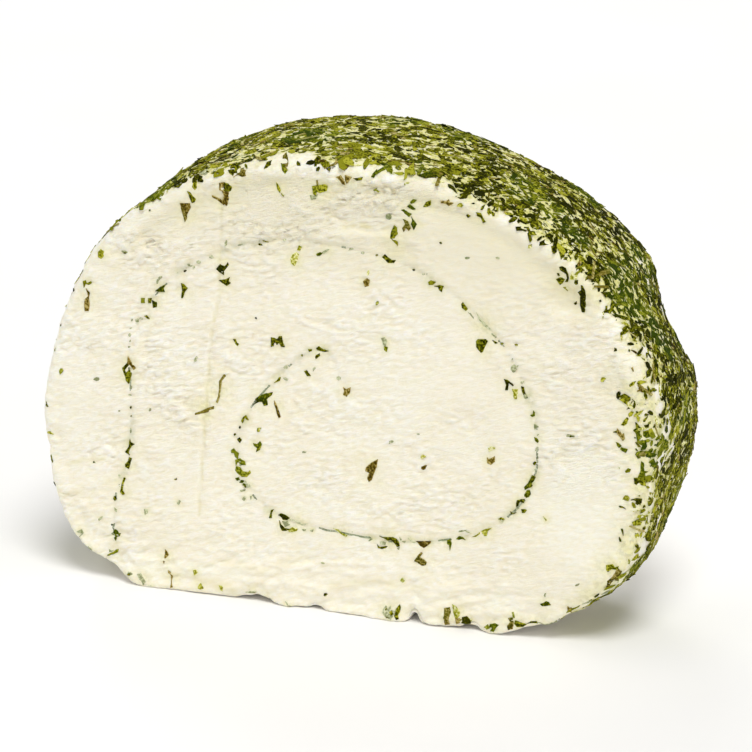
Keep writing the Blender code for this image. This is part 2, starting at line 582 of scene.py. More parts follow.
@dataclass(frozen=True)
class PaleFloor:
    """Matte white paper, which shows only the soft shadow."""

    name: str = "matte white paper"
    colour: str = "#FBFAF8"
    fleck: Tint = Tint("#F8F7F5", noise_mm=60.0, low=0.3, high=0.7)
    roughness: float = 0.9
    specular: float = 0.1

    def make(self) -> bpy.types.Material:
        """Builds the material.

        Returns:
            The material.
        """
        surface = Surface(self.name, self.colour, self.roughness, self.specular)
        surface.tint(self.fleck)
        surface.tree.links.new(surface.colour, surface.shader.inputs["Base Color"])
        return surface.material


@dataclass(frozen=True)
class Section:
    """What the looks need to know of the CAD solids: where the two cuts and the swirl lie."""

    front: float
    back: float
    swirl: Array
    depth: float = 23.0 * MM
    deeper_at_top: float = 1.5
    deeper_at_left: float = 0.6
    half_width: float = 46.0
    middle_height: float = 34.0

    def back_at(self, places: Array) -> Array:
        """The Y of the back cut, which isn't square, level with each point."""
        up = places[:, 2] / (self.middle_height * MM) - 1
        across = places[:, 0] / (self.half_width * MM)
        return self.front + self.depth + (self.deeper_at_top * up - self.deeper_at_left * across) * MM

    @staticmethod
    def read() -> "Section":
        """Takes the cuts from the cheese's box and the swirl from its path."""
        low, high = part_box("cheese_roll")
        points = [Vector((x - BOX_MIDDLE, z)) * MM for x, z in SWIRL]
        run = [points[0] * 2 - points[1], *points, points[-1] * 2 - points[-2]]
        path = []
        for before, start, end, after in zip(run, run[1:], run[2:], run[3:]):
            for t in np.linspace(0.0, 1.0, SWIRL_STEPS, endpoint=False):
                bend = before * 2 - start * 5 + end * 4 - after
                twist = start * 3 - before - end * 3 + after
                path.append((start * 2 + (end - before) * t + bend * t**2 + twist * t**3) * 0.5)
        return Section(low.y, high.y, np.array(path))


def near_line(flat: Array, line: Array) -> tuple[Array, Array, Array]:
    """Measures flat points against a line of straight stretches.

    Args:
        flat: X and Z of the points, one row each.
        line: X and Z of the line's points, one row each.

    Returns:
        The distance to the line, the side as -1 or 1 (1 is left of its run), and how far along the
        line the nearest place lies, from 0 to 1.
    """
    best = np.full(len(flat), np.inf)
    side = np.ones(len(flat))
    along = np.zeros(len(flat))
    lengths = np.linalg.norm(np.diff(line, axis=0), axis=1)
    total = max(lengths.sum(), TINY)
    passed = 0.0
    for start, step, length in zip(line, np.diff(line, axis=0), lengths):
        away = flat - start
        part = np.clip(away @ step / max(length * length, TINY), 0, 1)
        distance = np.linalg.norm(away - part[:, None] * step, axis=1)
        nearer = distance < best
        best = np.where(nearer, distance, best)
        turned = step[0] * away[:, 1] - step[1] * away[:, 0]
        side = np.where(nearer, np.where(turned >= 0, 1.0, -1.0), side)
        along = np.where(nearer, (passed + part * length) / total, along)
        passed += length
    return best, side, along


@dataclass(frozen=True)
class Stroke:
    """A run of pixels of the picture along which the front cut is grooved, raised or stained."""

    pixels: Pixels
    width_mm: float
    # The height in mm, or the strength of the stain from 0 to 1.
    amount: float

    def share(self, flat: Array, camera: PhotoCamera) -> Array:
        """How much of the stroke there is at each flat point, from 0 to 1."""
        distance, _, _ = near_line(flat, camera.line_on_cut(self.pixels))
        return bell(distance, self.width_mm * MM)

    def lift(self, flat: Array, camera: PhotoCamera) -> Array:
        """How far it lifts the surface at each flat point, in metres."""
        return self.amount * MM * self.share(flat, camera)


@dataclass(frozen=True)
class Lip:
    """A torn edge on the front cut: the surface drops steeply on its right and eases on its left."""

    pixels: Pixels
    reach_mm: float
    height_mm: float
    steep_mm: float = 0.25
    # One part in so many of its run is taken up by the fading at each end.
    ending: float = 6.0

    def lift(self, flat: Array, camera: PhotoCamera) -> Array:
        """How far it lifts the surface at each flat point, in metres."""
        distance, side, along = near_line(flat, camera.line_on_cut(self.pixels))
        ends = smooth_step(np.minimum(along, 1 - along) * self.ending)
        eased = np.exp(-distance / (self.reach_mm * MM))
        steep = np.exp(-distance / (self.steep_mm * MM))
        return self.height_mm * MM * ends * np.where(side > 0, eased, steep)


@dataclass(frozen=True)
class Patch:
    """An oval place on the front cut that is smoother, rougher, higher or lower than the rest, or painted
    whiter as painted light.

    Its middle is a pixel of the picture, and its half width and half height are in mm.
    """

    column: float
    row: float
    wide_mm: float
    high_mm: float
    lift_mm: float = 0.0
    rippled: float = 1.0
    torn: float = 0.0
    painted_light: float = 0.0

    def weight(self, flat: Array, camera: PhotoCamera) -> Array:
        """How much of the patch there is at each flat point, from 0 to 1."""
        away = flat - np.array(camera.on_cut(self.column, self.row))
        reach = np.hypot(away[:, 0] / (self.wide_mm * MM), away[:, 1] / (self.high_mm * MM))
        return smooth_step(1.5 - reach)


def read_rows(text: str) -> list[Array]:
    """Rows of numbers from text in which a semicolon stands between two rows."""
    return [np.array(row.replace(",", " ").split(), float) for row in text.split(";")]


def read_outlines(text: str) -> list[Array]:
    """Outlines from text such as "12,30 15,31 14,33; 40,51 44,52 42,55", as rows of two numbers."""
    return [row.reshape(-1, 2) for row in read_rows(text)]


# The long score left by the knife.
SCORE = ((222, 200), (220, 240), (218, 300), (212, 330), (208, 380), (203, 450), (199, 515))

# That score, fainter ones beside it, and the shallow troughs under the upper rim.
STROKES = (
    Stroke(SCORE, 0.35, -0.2),
    Stroke(((146, 310), (143, 380), (142, 440)), 0.45, -0.06),
    Stroke(((62, 360), (59, 400), (60, 450)), 0.45, -0.06),
    Stroke(((300, 196), (340, 190), (390, 196), (440, 212)), 1.3, -0.22),
    Stroke(((230, 205), (262, 190), (300, 184)), 1.3, -0.16),
)

# Yellowish marks where whey has dried. The last two are painted shade, in the dent and along the
# upper right rim.
WHEY_AND_SHADE = (
    Stroke(SCORE, 0.2, 0.5),
    Stroke(((343, 228), (353, 227)), 0.3, 0.8),
    Stroke(((360, 227), (369, 228)), 0.35, 0.8),
    Stroke(((384, 240), (396, 248), (408, 258)), 1.2, 0.35),
    Stroke(((220, 560), (260, 572), (300, 560)), 0.7, 0.3),
    Stroke(((330, 588), (370, 580), (420, 590)), 0.7, 0.3),
    Stroke(((66, 464), (85, 460), (102, 459)), 0.4, 0.5),
    Stroke(((64, 497), (76, 492)), 0.4, 0.6),
    Stroke(((196, 580), (215, 583), (232, 590)), 0.9, 0.5),
    # Painted shade: the dent under the upper right rim, and a faint band along that rim.
    Stroke(((556, 290), (572, 301), (592, 290)), 2.2, 0.4),
    Stroke(((440, 226), (490, 244), (540, 268), (575, 296)), 2.4, 0.08),
)

# Torn lips, each run with the higher side on its left.
LIPS = (
    Lip(((410, 243), (385, 236), (350, 234), (318, 236), (300, 240)), 1.6, 0.34),
    Lip(((560, 288), (568, 300), (580, 306)), 1.2, 0.3),
    Lip(((330, 520), (380, 528), (430, 525)), 1.2, 0.12),
    Lip(((110, 470), (85, 484), (62, 492)), 1.6, 0.2),
    Lip(((100, 500), (84, 514), (70, 520)), 1.4, 0.18),
    Lip(((400, 566), (340, 562), (280, 566), (230, 560)), 1.4, 0.25),
    Lip(((330, 590), (290, 582), (250, 586)), 1.2, 0.28),
    Lip(((230, 566), (190, 556), (150, 560), (120, 552)), 1.3, 0.26),
    Lip(((540, 590), (500, 584), (450, 590), (400, 584)), 1.5, 0.22),
    Lip(((600, 560), (560, 574), (530, 580)), 1.4, 0.16),
)

# How far the side has swollen or drawn in, in mm, going round the picture from its right.
OUTLINE = (
    (0, 0.65), (3, 0.5), (6, 0.05), (9, 0.0), (15, -0.25), (18, -0.13), (21, 0.45), (24, 0.8),
    (30, 0.6), (36, 0.35), (45, 0.25), (51, -0.1), (57, -0.15), (66, -0.2), (72, 0.05), (78, 0.18),
    (84, 0.2), (93, 0.0), (99, 0.05), (105, 0.25), (111, 0.35), (114, 0.42), (117, 0.3),
    (123, 0.1), (132, 0.1), (138, -0.4), (141, -0.7), (147, -0.2), (156, 0.1), (165, -0.25),
    (171, -0.1), (180, -0.1), (189, 0.1), (192, -0.28), (195, 0.0), (201, 0.1), (207, 0.4),
    (210, 0.25), (213, -0.25), (216, -0.2), (219, 0.34), (222, 0.5), (225, 0.3), (231, -0.14),
    (237, -0.4), (240, -0.8), (243, -0.75), (246, -0.2), (249, 0.3), (252, 0.0), (255, -0.55),
    (258, 0.3), (267, 0.25), (273, 0.5), (276, 0.4), (277.5, 0.0), (278.5, -1.3), (279.5, -1.3),
    (280.5, -0.3), (282, 0.12), (285, -0.5), (291, -0.8), (294, 0.1), (297, -0.5), (300, -0.6),
    (303, -0.4), (306, 0.35), (309, 0.0), (315, 0.1), (318, 0.35), (321, 0.6), (327, 0.6),
    (330, 0.3), (333, 0.0), (339, -0.25), (342, 0.0), (345, 0.2), (348, 0.5), (357, 0.6),
    (360, 0.65),
)

# Places on the front cut whose ripples or height differ from the rest.
PATCHES = (
    Patch(150, 240, 9.0, 6.0, rippled=1.5),
    Patch(280, 218, 8.0, 4.5, rippled=2.0),
    Patch(185, 400, 7.0, 13.0, rippled=1.4),
    Patch(590, 380, 6.0, 9.0, rippled=1.5),
    Patch(580, 468, 5.0, 5.0, rippled=1.8),
    Patch(110, 330, 8.0, 10.0, rippled=1.3),
    Patch(330, 188, 24.0, 2.5, rippled=2.1),
    Patch(340, 222, 10.0, 3.0, rippled=1.3),
    Patch(330, 490, 7.0, 4.0, rippled=1.3),
    Patch(450, 350, 6.0, 8.0, rippled=0.8),
    Patch(485, 262, 10.0, 7.0, lift_mm=0.05, rippled=0.5),
    Patch(590, 540, 6.5, 7.0, lift_mm=0.1, rippled=0.4),
    Patch(566, 303, 2.6, 2.0, lift_mm=-0.7, rippled=0.6),
    Patch(365, 224, 6.5, 1.6, lift_mm=-0.35, rippled=0.6),
    Patch(395, 250, 2.6, 1.6, lift_mm=-0.3),
    Patch(85, 510, 4.5, 6.0, lift_mm=-0.25, rippled=0.9, torn=0.35),
    Patch(120, 545, 5.0, 3.0, lift_mm=-0.2, torn=1.0),
    Patch(300, 580, 16.0, 4.5, rippled=0.6, torn=1.0),
    Patch(460, 600, 14.0, 4.0, rippled=0.6, torn=0.9),
    Patch(180, 570, 8.0, 3.0, rippled=0.7, torn=0.9),
)

# Places on the front cut painted whiter than the rest: painted highlight on the top rim, and painted
# light on the lower right and along the bottom.
PAINTED_HIGHLIGHTS = (
    Patch(590, 510, 6.5, 11.0, painted_light=0.7),
    Patch(290, 168, 16.0, 1.3, painted_light=1.5),
    Patch(200, 175, 5.0, 1.2, painted_light=0.8),
    Patch(145, 562, 4.0, 1.5, painted_light=0.9),
    Patch(200, 571, 6.0, 1.2, painted_light=0.7),
    Patch(505, 605, 2.5, 1.5, painted_light=0.9),
)

# Nicks and bumps of the lower edge that show in the outline: column, row, radius and lift in mm.
EDGE_BITES = (
    (78, 530, 3.0, -0.35), (118, 560, 2.2, -0.5), (133, 588, 2.0, 0.35), (415, 622, 2.0, -0.3),
    (445, 625, 1.8, 0.2), (478, 632, 2.0, -0.25), (506, 632, 2.2, 0.35), (565, 622, 2.5, -0.3),
)

# Places where the lower edge doesn't touch the floor: column, row, half width and height in mm.
EDGE_GAPS = (
    (249, 596, 1.8, 0.55), (262, 597, 1.6, 0.6), (316, 606, 1.1, 0.5), (413, 616, 0.75, 1.45),
    (470, 628, 1.4, 0.75), (456, 627, 1.4, 0.2),
)

# Where the coat begins, going round the log as turn_round_log does: the angle in degrees, how far
# behind the front cut the first leaves lie and how far back the coat is full, in mm, and how much of
# a full coat lies between the two.
COAT_EDGE = (
    (-180, 2.4, 3.8, 0.2), (-135, 2.5, 6.0, 0.2), (-90, 2.0, 8.0, 0.2), (-45, 0.6, 5.0, 0.4),
    (-35, 0.2, 5.0, 0.5), (-29, 0.4, 4.8, 0.4), (-23, 0.3, 3.2, 0.5), (-17, 0.2, 4.2, 0.4),
    (-11, -0.4, 4.0, 0.5), (-5, -0.8, 3.4, 0.6), (1, -0.8, 2.8, 0.65), (7, -0.8, 2.4, 0.65),
    (12, -0.6, 1.8, 0.6), (18, -0.2, 1.6, 0.5), (24, 0.2, 1.6, 0.4), (29, 0.0, 1.2, 0.45),
    (37, 0.3, 1.0, 0.7), (41, 0.15, 0.7, 0.75), (46, 0.05, 0.7, 0.75), (55, -0.2, 0.9, 0.5),
    (60, 0.1, 1.6, 0.5), (68, 0.3, 2.0, 0.45), (78, 0.6, 2.2, 0.4), (83, 0.8, 2.0, 0.5),
    (88, 0.9, 2.6, 0.4), (94, 0.6, 1.9, 0.4), (100, 0.8, 2.9, 0.3), (107, 0.5, 2.4, 0.4),
    (114, 0.0, 1.4, 0.45), (128, 0.7, 1.5, 0.4), (138, 0.9, 1.8, 0.35), (147, 1.8, 2.8, 0.2),
    (180, 2.4, 3.8, 0.2),
)

# How large the coat's flakes are against the usual, going round in the same way.
COAT_SIZE = ((-180, 1.0), (55, 1.0), (75, 1.25), (130, 1.25), (155, 1.0), (180, 1.0))

# How much lighter or darker the coat is painted, going round in the same way: painted light and
# shade, lighter on the lower right and over the top, darker on the upper right.
COAT_PAINTED_LIGHT = (
    (-180, 0.1), (-60, 0.2), (-35, 0.3), (-20, 0.3), (-3, 0.15), (8, 0.0), (18, -0.25), (34, -0.25),
    (44, -0.2), (60, -0.1), (80, 0.2), (125, 0.2), (180, 0.1),
)

# Where cheese shows through the coat: column and row of the picture, and the radius in mm.
BARE = (
    (667, 433, 1.1), (669, 418, 0.9), (672, 448, 0.8), (661, 461, 0.9), (660, 408, 0.6),
    (657, 391, 0.8), (646, 352, 0.8), (636, 371, 0.7), (648, 405, 0.6), (652, 446, 0.7),
    (639, 470, 0.7), (646, 488, 0.8), (652, 505, 0.6), (658, 522, 0.9), (644, 546, 1.0),
    (622, 572, 0.6), (640, 262, 0.7), (647, 280, 0.7), (662, 310, 0.7), (472, 150, 0.3),
    (508, 160, 0.3),
)

# The unevenness of each surface, from broad swellings to fine grain.
FRONT_SWELLS = (Swell(21, (15.0, 20.0, 11.0), 0.35), Swell(22, (5.0, 20.0, 3.5), 0.16))
FRONT_GRAIN = Swell(23, (0.7, 9.0, 0.5), 0.04)
BACK_SWELLS = (Swell(41, (14.0, 20.0, 12.0), 0.40), Swell(42, (4.5, 20.0, 3.2), 0.20))
BACK_RIM = Swell(42, (3.0, 20.0, 2.4), 0.25)
SIDE_SWELLS = (
    Swell(61, (9.0, 7.0, 9.0), 0.30),
    Swell(62, (2.6, 2.6, 2.6), 0.14),
    Swell(63, (1.1, 1.1, 1.1), 0.10),
)
# The sizes of the lumps and the crumbs where the front cut is torn, and at its rim.
TORN_CELLS = ((2.6, 20.0, 1.1), (1.0, 20.0, 0.55))
RIM_CELLS = ((2.6, 20.0, 2.0), (1.2, 20.0, 0.9))
# The sizes of the ripples' wide and small bends, and how far these go up and down, in mm.
RIPPLE_BENDS = (((4.0, 5.0, 3.0), 0.50), ((0.9, 5.0, 0.9), 0.32))

# The height of the middle that angles round the log are measured from.
LOG_MIDDLE = 30 * MM


def turn_round_log(places: Array) -> Array:
    """Where each point lies round the log, in degrees anticlockwise from the right, from the front."""
    return np.degrees(np.arctan2(places[:, 2] - LOG_MIDDLE, places[:, 0]))


def crumble(places: Array, coarse: Triple, fine: Triple) -> Array:
    """Torn and crumbly unevenness in two sizes, from about -1 to 1."""
    return 0.6 * Noise(22).at(places, coarse) + 0.4 * Noise(23).at(places, fine)


@dataclass
class CheeseBody:
    """The white cheese: two cut faces, their worn rims, and the rounded side under the coat."""

    section: Section
    camera: PhotoCamera
    name: str = "soft_cheese"
    welding: float = 0.001 * MM
    closing: float = 0.2 * MM
    cell: float = 0.42 * MM
    stretch: float = 2.0
    fine_depth: float = 2.6 * MM
    # The height of the front cut's ripples, and that of the back cut's against it.
    ripple_mm: float = 0.13
    back_rippled: float = 1.2
    # The ripples rise to the right by this much, and by so much less for every metre to the right:
    # they run in flat arcs, as the knife was drawn.
    ripple_rise: float = 0.38
    ripple_arc: float = 3.0
    # How much smoother the cut is beside the larger bits of herb.
    smoothed: float = 0.7
    # How deep the trough under the upper rim, the torn places and the crumbly rim are.
    trough_mm: float = 0.30
    torn_mm: float = 0.62
    crumbs_mm: float = 0.40
    # The groove at the herb layer in each cut: its depth in mm, and half its width.
    front_groove: tuple[float, float] = (0.16, 0.35 * MM)
    back_groove: tuple[float, float] = (0.20, 0.5 * MM)
    # How far these reach inwards from the outline: its swelling, the crumbs, the back cut's lumps,
    # the painted highlight, and the herb dust.
    rim_swell: float = 1.2 * MM
    rim_crumbs: float = 2.6 * MM
    rim_lumps: float = 2.5 * MM
    rim_highlight: float = 1.5 * MM
    rim_dust: float = 3.2 * MM
    # How far the herb juice has spread from the layer.
    juice_reach: float = 0.75 * MM
    # The relief fades out over this height above the floor.
    foot: float = 0.6 * MM
    # How far up and back the gaps under the lower edge reach, and how far back its nicks.
    gap_height: float = 2.5 * MM
    gap_depth: float = 7 * MM
    bite_depth: float = 8 * MM
    piece: bpy.types.Object = field(init=False)
    tree: BVHTree = field(init=False)
    inside: Array = field(init=False)
    rough: Array = field(init=False)
    bits: Array = field(init=False)
    painted_valley_shade: Array = field(init=False)
    bare: list[tuple[Vector, float]] = field(default_factory=list)

    def build(self, nodes: dict[str, bpy.types.Object]) -> bpy.types.Object:
        """Models the cheese from the CAD solids and dresses it.

        Args:
            nodes: The CAD nodes by name.

        Returns:
            The finished piece.
        """
        self.piece = self.join_solids(nodes)
        self.remesh()
        self.refine_front()
        self.raise_relief()
        self.tree = BVHTree.FromObject(self.piece, bpy.context.evaluated_depsgraph_get())
        self.bare = [(self.seen_at(column, row)[0], radius) for column, row, radius in BARE]
        self.mark_tints()
        self.piece.data.materials.clear()
        self.piece.data.materials.append(SoftCheese().make())
        make_active(self.piece)
        bpy.ops.object.shade_smooth()
        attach(self.piece, "root")
        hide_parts("cheese_roll")
        return self.piece

    def join_solids(self, nodes: dict[str, bpy.types.Object]) -> bpy.types.Object:
        """Joins copies of both CAD solids and swells them, so that the slot between them shuts."""
        deselect_all()
        for name in ("herb_swirl", "cheese_roll"):
            copy = nodes[name].copy()
            copy.data = nodes[name].data.copy()
            copy.parent = None
            for key in list(copy.keys()):
                del copy[key]
            bpy.context.scene.collection.objects.link(copy)
            copy.select_set(True)
            bpy.context.view_layer.objects.active = copy
        bpy.ops.object.join()
        piece = bpy.context.object
        piece.name = self.name
        with editing(piece):
            bpy.ops.mesh.remove_doubles(threshold=self.welding)
        apply_modifier(piece, "DISPLACE", strength=self.closing, mid_level=0.0)
        return piece

    def scale_across(self, factor: float) -> None:
        """Scales the piece along X and Y, in its mesh."""
        make_active(self.piece)
        bpy.ops.transform.resize(value=(factor, factor, 1.0))
        bpy.ops.object.transform_apply(location=True, rotation=True, scale=True)

    def remesh(self) -> None:
        """Gives the piece even cells, wider than high, as the ripples are, and takes the swelling back."""
        self.scale_across(1 / self.stretch)
        apply_modifier(self.piece, "REMESH", mode="VOXEL", voxel_size=self.cell)
        self.scale_across(self.stretch)
        apply_modifier(self.piece, "DISPLACE", strength=-self.closing, mid_level=0.0)
        apply_modifier(self.piece, "SMOOTH", factor=0.5, iterations=2)

    def refine_front(self) -> None:
        """Halves the cells of the front cut and its rim."""
        mesh = self.piece.data
        mesh.polygons.foreach_set("select", [False] * len(mesh.polygons))
        mesh.edges.foreach_set("select", [False] * len(mesh.edges))
        mesh.vertices.foreach_set("select", [False] * len(mesh.vertices))
        reach = self.section.front + self.fine_depth
        for polygon in mesh.polygons:
            polygon.select = polygon.center.y < reach
        make_active(self.piece)
        bpy.ops.object.mode_set(mode="EDIT")
        bpy.ops.mesh.select_mode(type="FACE")
        bpy.ops.mesh.subdivide(number_cuts=1, quadcorner="INNERVERT")
        bpy.ops.mesh.select_all(action="DESELECT")
        bpy.ops.object.mode_set(mode="OBJECT")

    def rim_distance(self, places: Array, normals: Array) -> Array:
        """How far each point lies inside the outline, seen along the log."""
        outline = np.flatnonzero(np.abs(normals[:, 1]) < 0.35)[::3]
        tree = KDTree(len(outline))
        for index in outline:
            tree.insert((places[index, 0], 0.0, places[index, 2]), int(index))
        tree.balance()
        return np.array([tree.find((x, 0.0, z))[2] for x, _, z in places])

    def raise_relief(self) -> None:
        """Moves the points out and in along their normals."""
        mesh = self.piece.data
        places, normals = read_places(mesh), read_normals(mesh)
        facing = np.abs(normals[:, 1]) ** 2
        front = normals[:, 1] < 0
        self.inside = self.rim_distance(places, normals)
        waves = np.where(front, self.ripples(places, 31), self.ripples(places, 51))
        cut = np.where(front, self.front_relief(places, waves), self.back_relief(places, waves))
        # Painted shade: the valleys between the ripples are darkened and yellowed, more where the cut is
        # rougher.
        self.painted_valley_shade = np.clip(0.5 - 0.55 * self.rough * waves, 0, 1)
        swell = np.interp(self.camera.turn_in_picture(places), *zip(*OUTLINE)) * MM
        rim = bell(self.inside, self.rim_swell)
        lift = facing * cut + (1 - facing) * uneven(SIDE_SWELLS, places)
        lift += self.edge_bites(places) + swell * np.maximum(1 - facing, rim * front)
        lift *= smooth_step(places[:, 2] / self.foot + np.abs(normals[:, 1]) * 0.9)
        places += normals * lift[:, None]
        places[:, 2] = np.maximum(places[:, 2], 0.0)
        depth = places[:, 1] - self.section.front
        for column, row, half, height in EDGE_GAPS:
            away = (places[:, 0] - self.camera.on_cut(column, row)[0]) / (half * MM)
            fading = np.exp(-(away**4) - places[:, 2] / self.gap_height - (depth / self.gap_depth) ** 2)
            places[:, 2] += height * MM * fading
        write_places(mesh, places)

    def along_knife(self, places: Array) -> Array:
        """The same places with the knife's arcs laid level, as the patterns that follow them need."""
        level = places.copy()
        level[:, 2] -= (self.ripple_rise - self.ripple_arc * places[:, 0] / 2) * places[:, 0]
        return level

    def ripples(self, places: Array, seed: int) -> Array:
        """Fine wavy ridges that run across the cut, from about -1 to 1."""
        warped = self.along_knife(places)
        for cell, height_mm in RIPPLE_BENDS:
            warped[:, 2] += Swell(seed, cell, height_mm).lift(places)
        fine, wide = Noise(seed + 1), Noise(seed + 2)
        waves = 1.7 * fine.at(warped, (0.66, 9.0, 0.34)) + 0.45 * wide.at(warped, (1.3, 9.0, 0.62))
        valleys = bell(wide.at(warped, (1.6, 9.0, 0.7)), 0.10)
        strength = 0.8 + 0.9 * Noise(seed + 3).at(places, (6.0, 9.0, 4.0))
        return (waves - 0.35 * valleys) * np.clip(strength, 0.2, 1.5)

    def trough(self, places: Array, middle_mm: float, spread: float, start: float) -> Array:
        """How much there is of a trough along the upper rim, deepest so far inside the outline."""
        band = np.exp(-((self.inside / MM - middle_mm) ** 2) / spread)
        return band * smooth_step(places[:, 2] / (10 * MM) - start)

    def groove(self, flat: Array, depth_mm: float, reach: float) -> Array:
        """How deep the herb layer's groove is at each flat point, in metres."""
        swirl, _, _ = near_line(flat, self.section.swirl)
        return depth_mm * MM * bell(swirl, reach)

    def front_relief(self, places: Array, waves: Array) -> Array:
        """How far the front cut stands proud of its plane, in metres."""
        flat = places[:, (0, 2)]
        lift = uneven(FRONT_SWELLS, places)
        rippled = np.ones(len(places))
        torn = np.zeros(len(places))
        for patch in PATCHES:
            weight = patch.weight(flat, self.camera)
            lift += patch.lift_mm * MM * weight
            rippled += (patch.rippled - 1) * weight
            torn = np.maximum(torn, patch.torn * weight)
        self.bits = self.near_bits(flat)
        rippled *= 1 - self.smoothed * self.bits
        self.rough = np.clip(rippled, 0.4, 2.6)
        lift += self.ripple_mm * MM * np.clip(rippled, 0.15, 3) * waves
        lift -= self.trough_mm * MM * self.trough(places, 2.9, 1.6, 4.4)
        lift += self.torn_mm * MM * torn * crumble(self.along_knife(places), *TORN_CELLS)
        lift += FRONT_GRAIN.lift(places)
        for mark in (*STROKES, *LIPS):
            lift += mark.lift(flat, self.camera)
        lift -= self.groove(flat, *self.front_groove)
        lift += self.crumbs_mm * MM * crumble(places, *RIM_CELLS) * bell(self.inside, self.rim_crumbs)
        return lift

    def near_bits(self, flat: Array) -> Array:
        """How close each flat point is to one of the larger bits of herb in the front cut, up to 1."""
        near = np.zeros(len(flat))
        for outline in itertools.chain(*OUTLINES.values()):
            line = self.camera.line_on_cut(outline)
            away = flat - line.mean(axis=0)
            reach = 1.3 * line.std(axis=0).sum()
            near = np.maximum(near, np.exp(-np.sum(away**2, axis=1) / reach**2))
        return near

    def back_relief(self, places: Array, waves: Array) -> Array:
        """How far the back cut stands proud of its plane, in metres."""
        lift = uneven(BACK_SWELLS, places)
        lift += self.back_rippled * self.ripple_mm * MM * waves
        lift -= self.groove(places[:, (0, 2)], *self.back_groove)
        lift += BACK_RIM.lift(places) * np.exp(-self.inside / self.rim_lumps)
        return lift

    def edge_bites(self, places: Array) -> Array:
        """Nicks and bumps of the lower edge, which fade towards the back."""
        lift = np.zeros(len(places))
        depth = places[:, 1] - self.section.front
        for column, row, radius, height in EDGE_BITES:
            x, z = self.camera.on_cut(column, row)
            away = np.hypot(places[:, 0] - x, places[:, 2] - max(z, 0.0)) / (radius * MM)
            lift += height * MM * np.exp(-away * away) * np.exp(-depth / self.bite_depth)
        return lift

    def mark_tints(self) -> None:
        """Stores how strongly each tint of the cheese shows at each point."""
        mesh = self.piece.data
        places, normals = read_places(mesh), read_normals(mesh)
        flat = places[:, (0, 2)]
        cut = np.abs(normals[:, 1]) > 0.5
        front = normals[:, 1] < -0.5
        blotch = smooth_step(0.5 + 1.2 * Noise(72).at(places, (1.4, 20.0, 1.4)))
        dusted = self.herb_dust(places)
        halo = np.maximum(0.4 * self.bits, 0.6 * dusted) * front * (0.5 + 0.5 * blotch)
        write_attribute(mesh, "stain", self.herb_juice(places, blotch) * cut)
        # Painted shade: darker and yellower towards the top, a little to the right and under the rim.
        write_attribute(mesh, "painted_shade", self.painted_shade_share(places) * cut)
        # Painted highlight: the rim and the painted light patches are whitened.
        write_attribute(mesh, "painted_highlight", self.painted_highlight_share(flat, dusted) * front * (0.7 + 0.3 * blotch))
        write_attribute(mesh, "rough", self.rough)
        # Painted shade in the ripples' valleys.
        write_attribute(mesh, "painted_valley_shade", self.painted_valley_shade * cut)
        # Dried whey marks, and painted shade in the upper right.
        write_attribute(mesh, "whey_and_shade", self.whey_and_shade_share(flat, blotch) * front)
        write_attribute(mesh, "coat", np.maximum(self.coat_cover(places, normals, self.inside), halo))

    def herb_juice(self, places: Array, blotch: Array) -> Array:
        """How far herb juice has tinted the cheese beside the layer, in patches and blotches."""
        swirl, _, _ = near_line(places[:, (0, 2)], self.section.swirl)
        patchy = smooth_step(0.5 + 1.6 * Noise(71).at(places, (5.0, 20.0, 5.0)))
        return 0.7 * (bell(swirl, self.juice_reach) * (0.2 + 0.8 * patchy) * (0.3 + 0.7 * blotch))

    def painted_shade_share(self, places: Array) -> Array:
        """How much painted shade darkens the cuts: towards the top, a little to the right, and under the
        rim.
        """
        broad = 5 * Noise(73).at(places, (14.0, 20.0, 9.0))
        high = smooth_step((places[:, 2] / MM + broad - 44) / 20)
        right = smooth_step((places[:, 0] / MM + broad - 8) / 25)
        # Painted shade: the top, a little of the right, and the trough under the rim.
        painted_shade = 0.6 * np.clip(high + 0.3 * right, 0, 1) + 0.35 * self.trough(places, 3.0, 2.0, 4.6)
        return np.clip(painted_shade, 0, 1)

    def herb_dust(self, places: Array) -> Array:
        """How thickly herb dust lies on the front cut's rim, low on the right."""
        dusted = bell(self.inside, self.rim_dust) * smooth_step(places[:, 0] / (8 * MM) - 4.0)
        return dusted * smooth_step((46 - places[:, 2] / MM) / 8)

    def painted_highlight_share(self, flat: Array, dusted: Array) -> Array:
        """How much painted highlight whitens the front cut, along its rim and in the painted light
        patches.
        """
        painted_highlight = 0.6 * bell(self.inside, self.rim_highlight) * (1 - dusted)
        for patch in PAINTED_HIGHLIGHTS:
            painted_highlight = np.maximum(painted_highlight, patch.painted_light * patch.weight(flat, self.camera))
        return np.clip(painted_highlight, 0, 1)

    def whey_and_shade_share(self, flat: Array, blotch: Array) -> Array:
        """How strongly yellow marks show on the front cut: dried marks, and painted shade by the upper
        right rim.
        """
        whey_and_shade = np.zeros(len(flat))
        for mark in WHEY_AND_SHADE:
            weight = mark.amount * mark.share(flat, self.camera)
            whey_and_shade = np.maximum(whey_and_shade, weight * (0.5 + 0.5 * blotch))
        return whey_and_shade

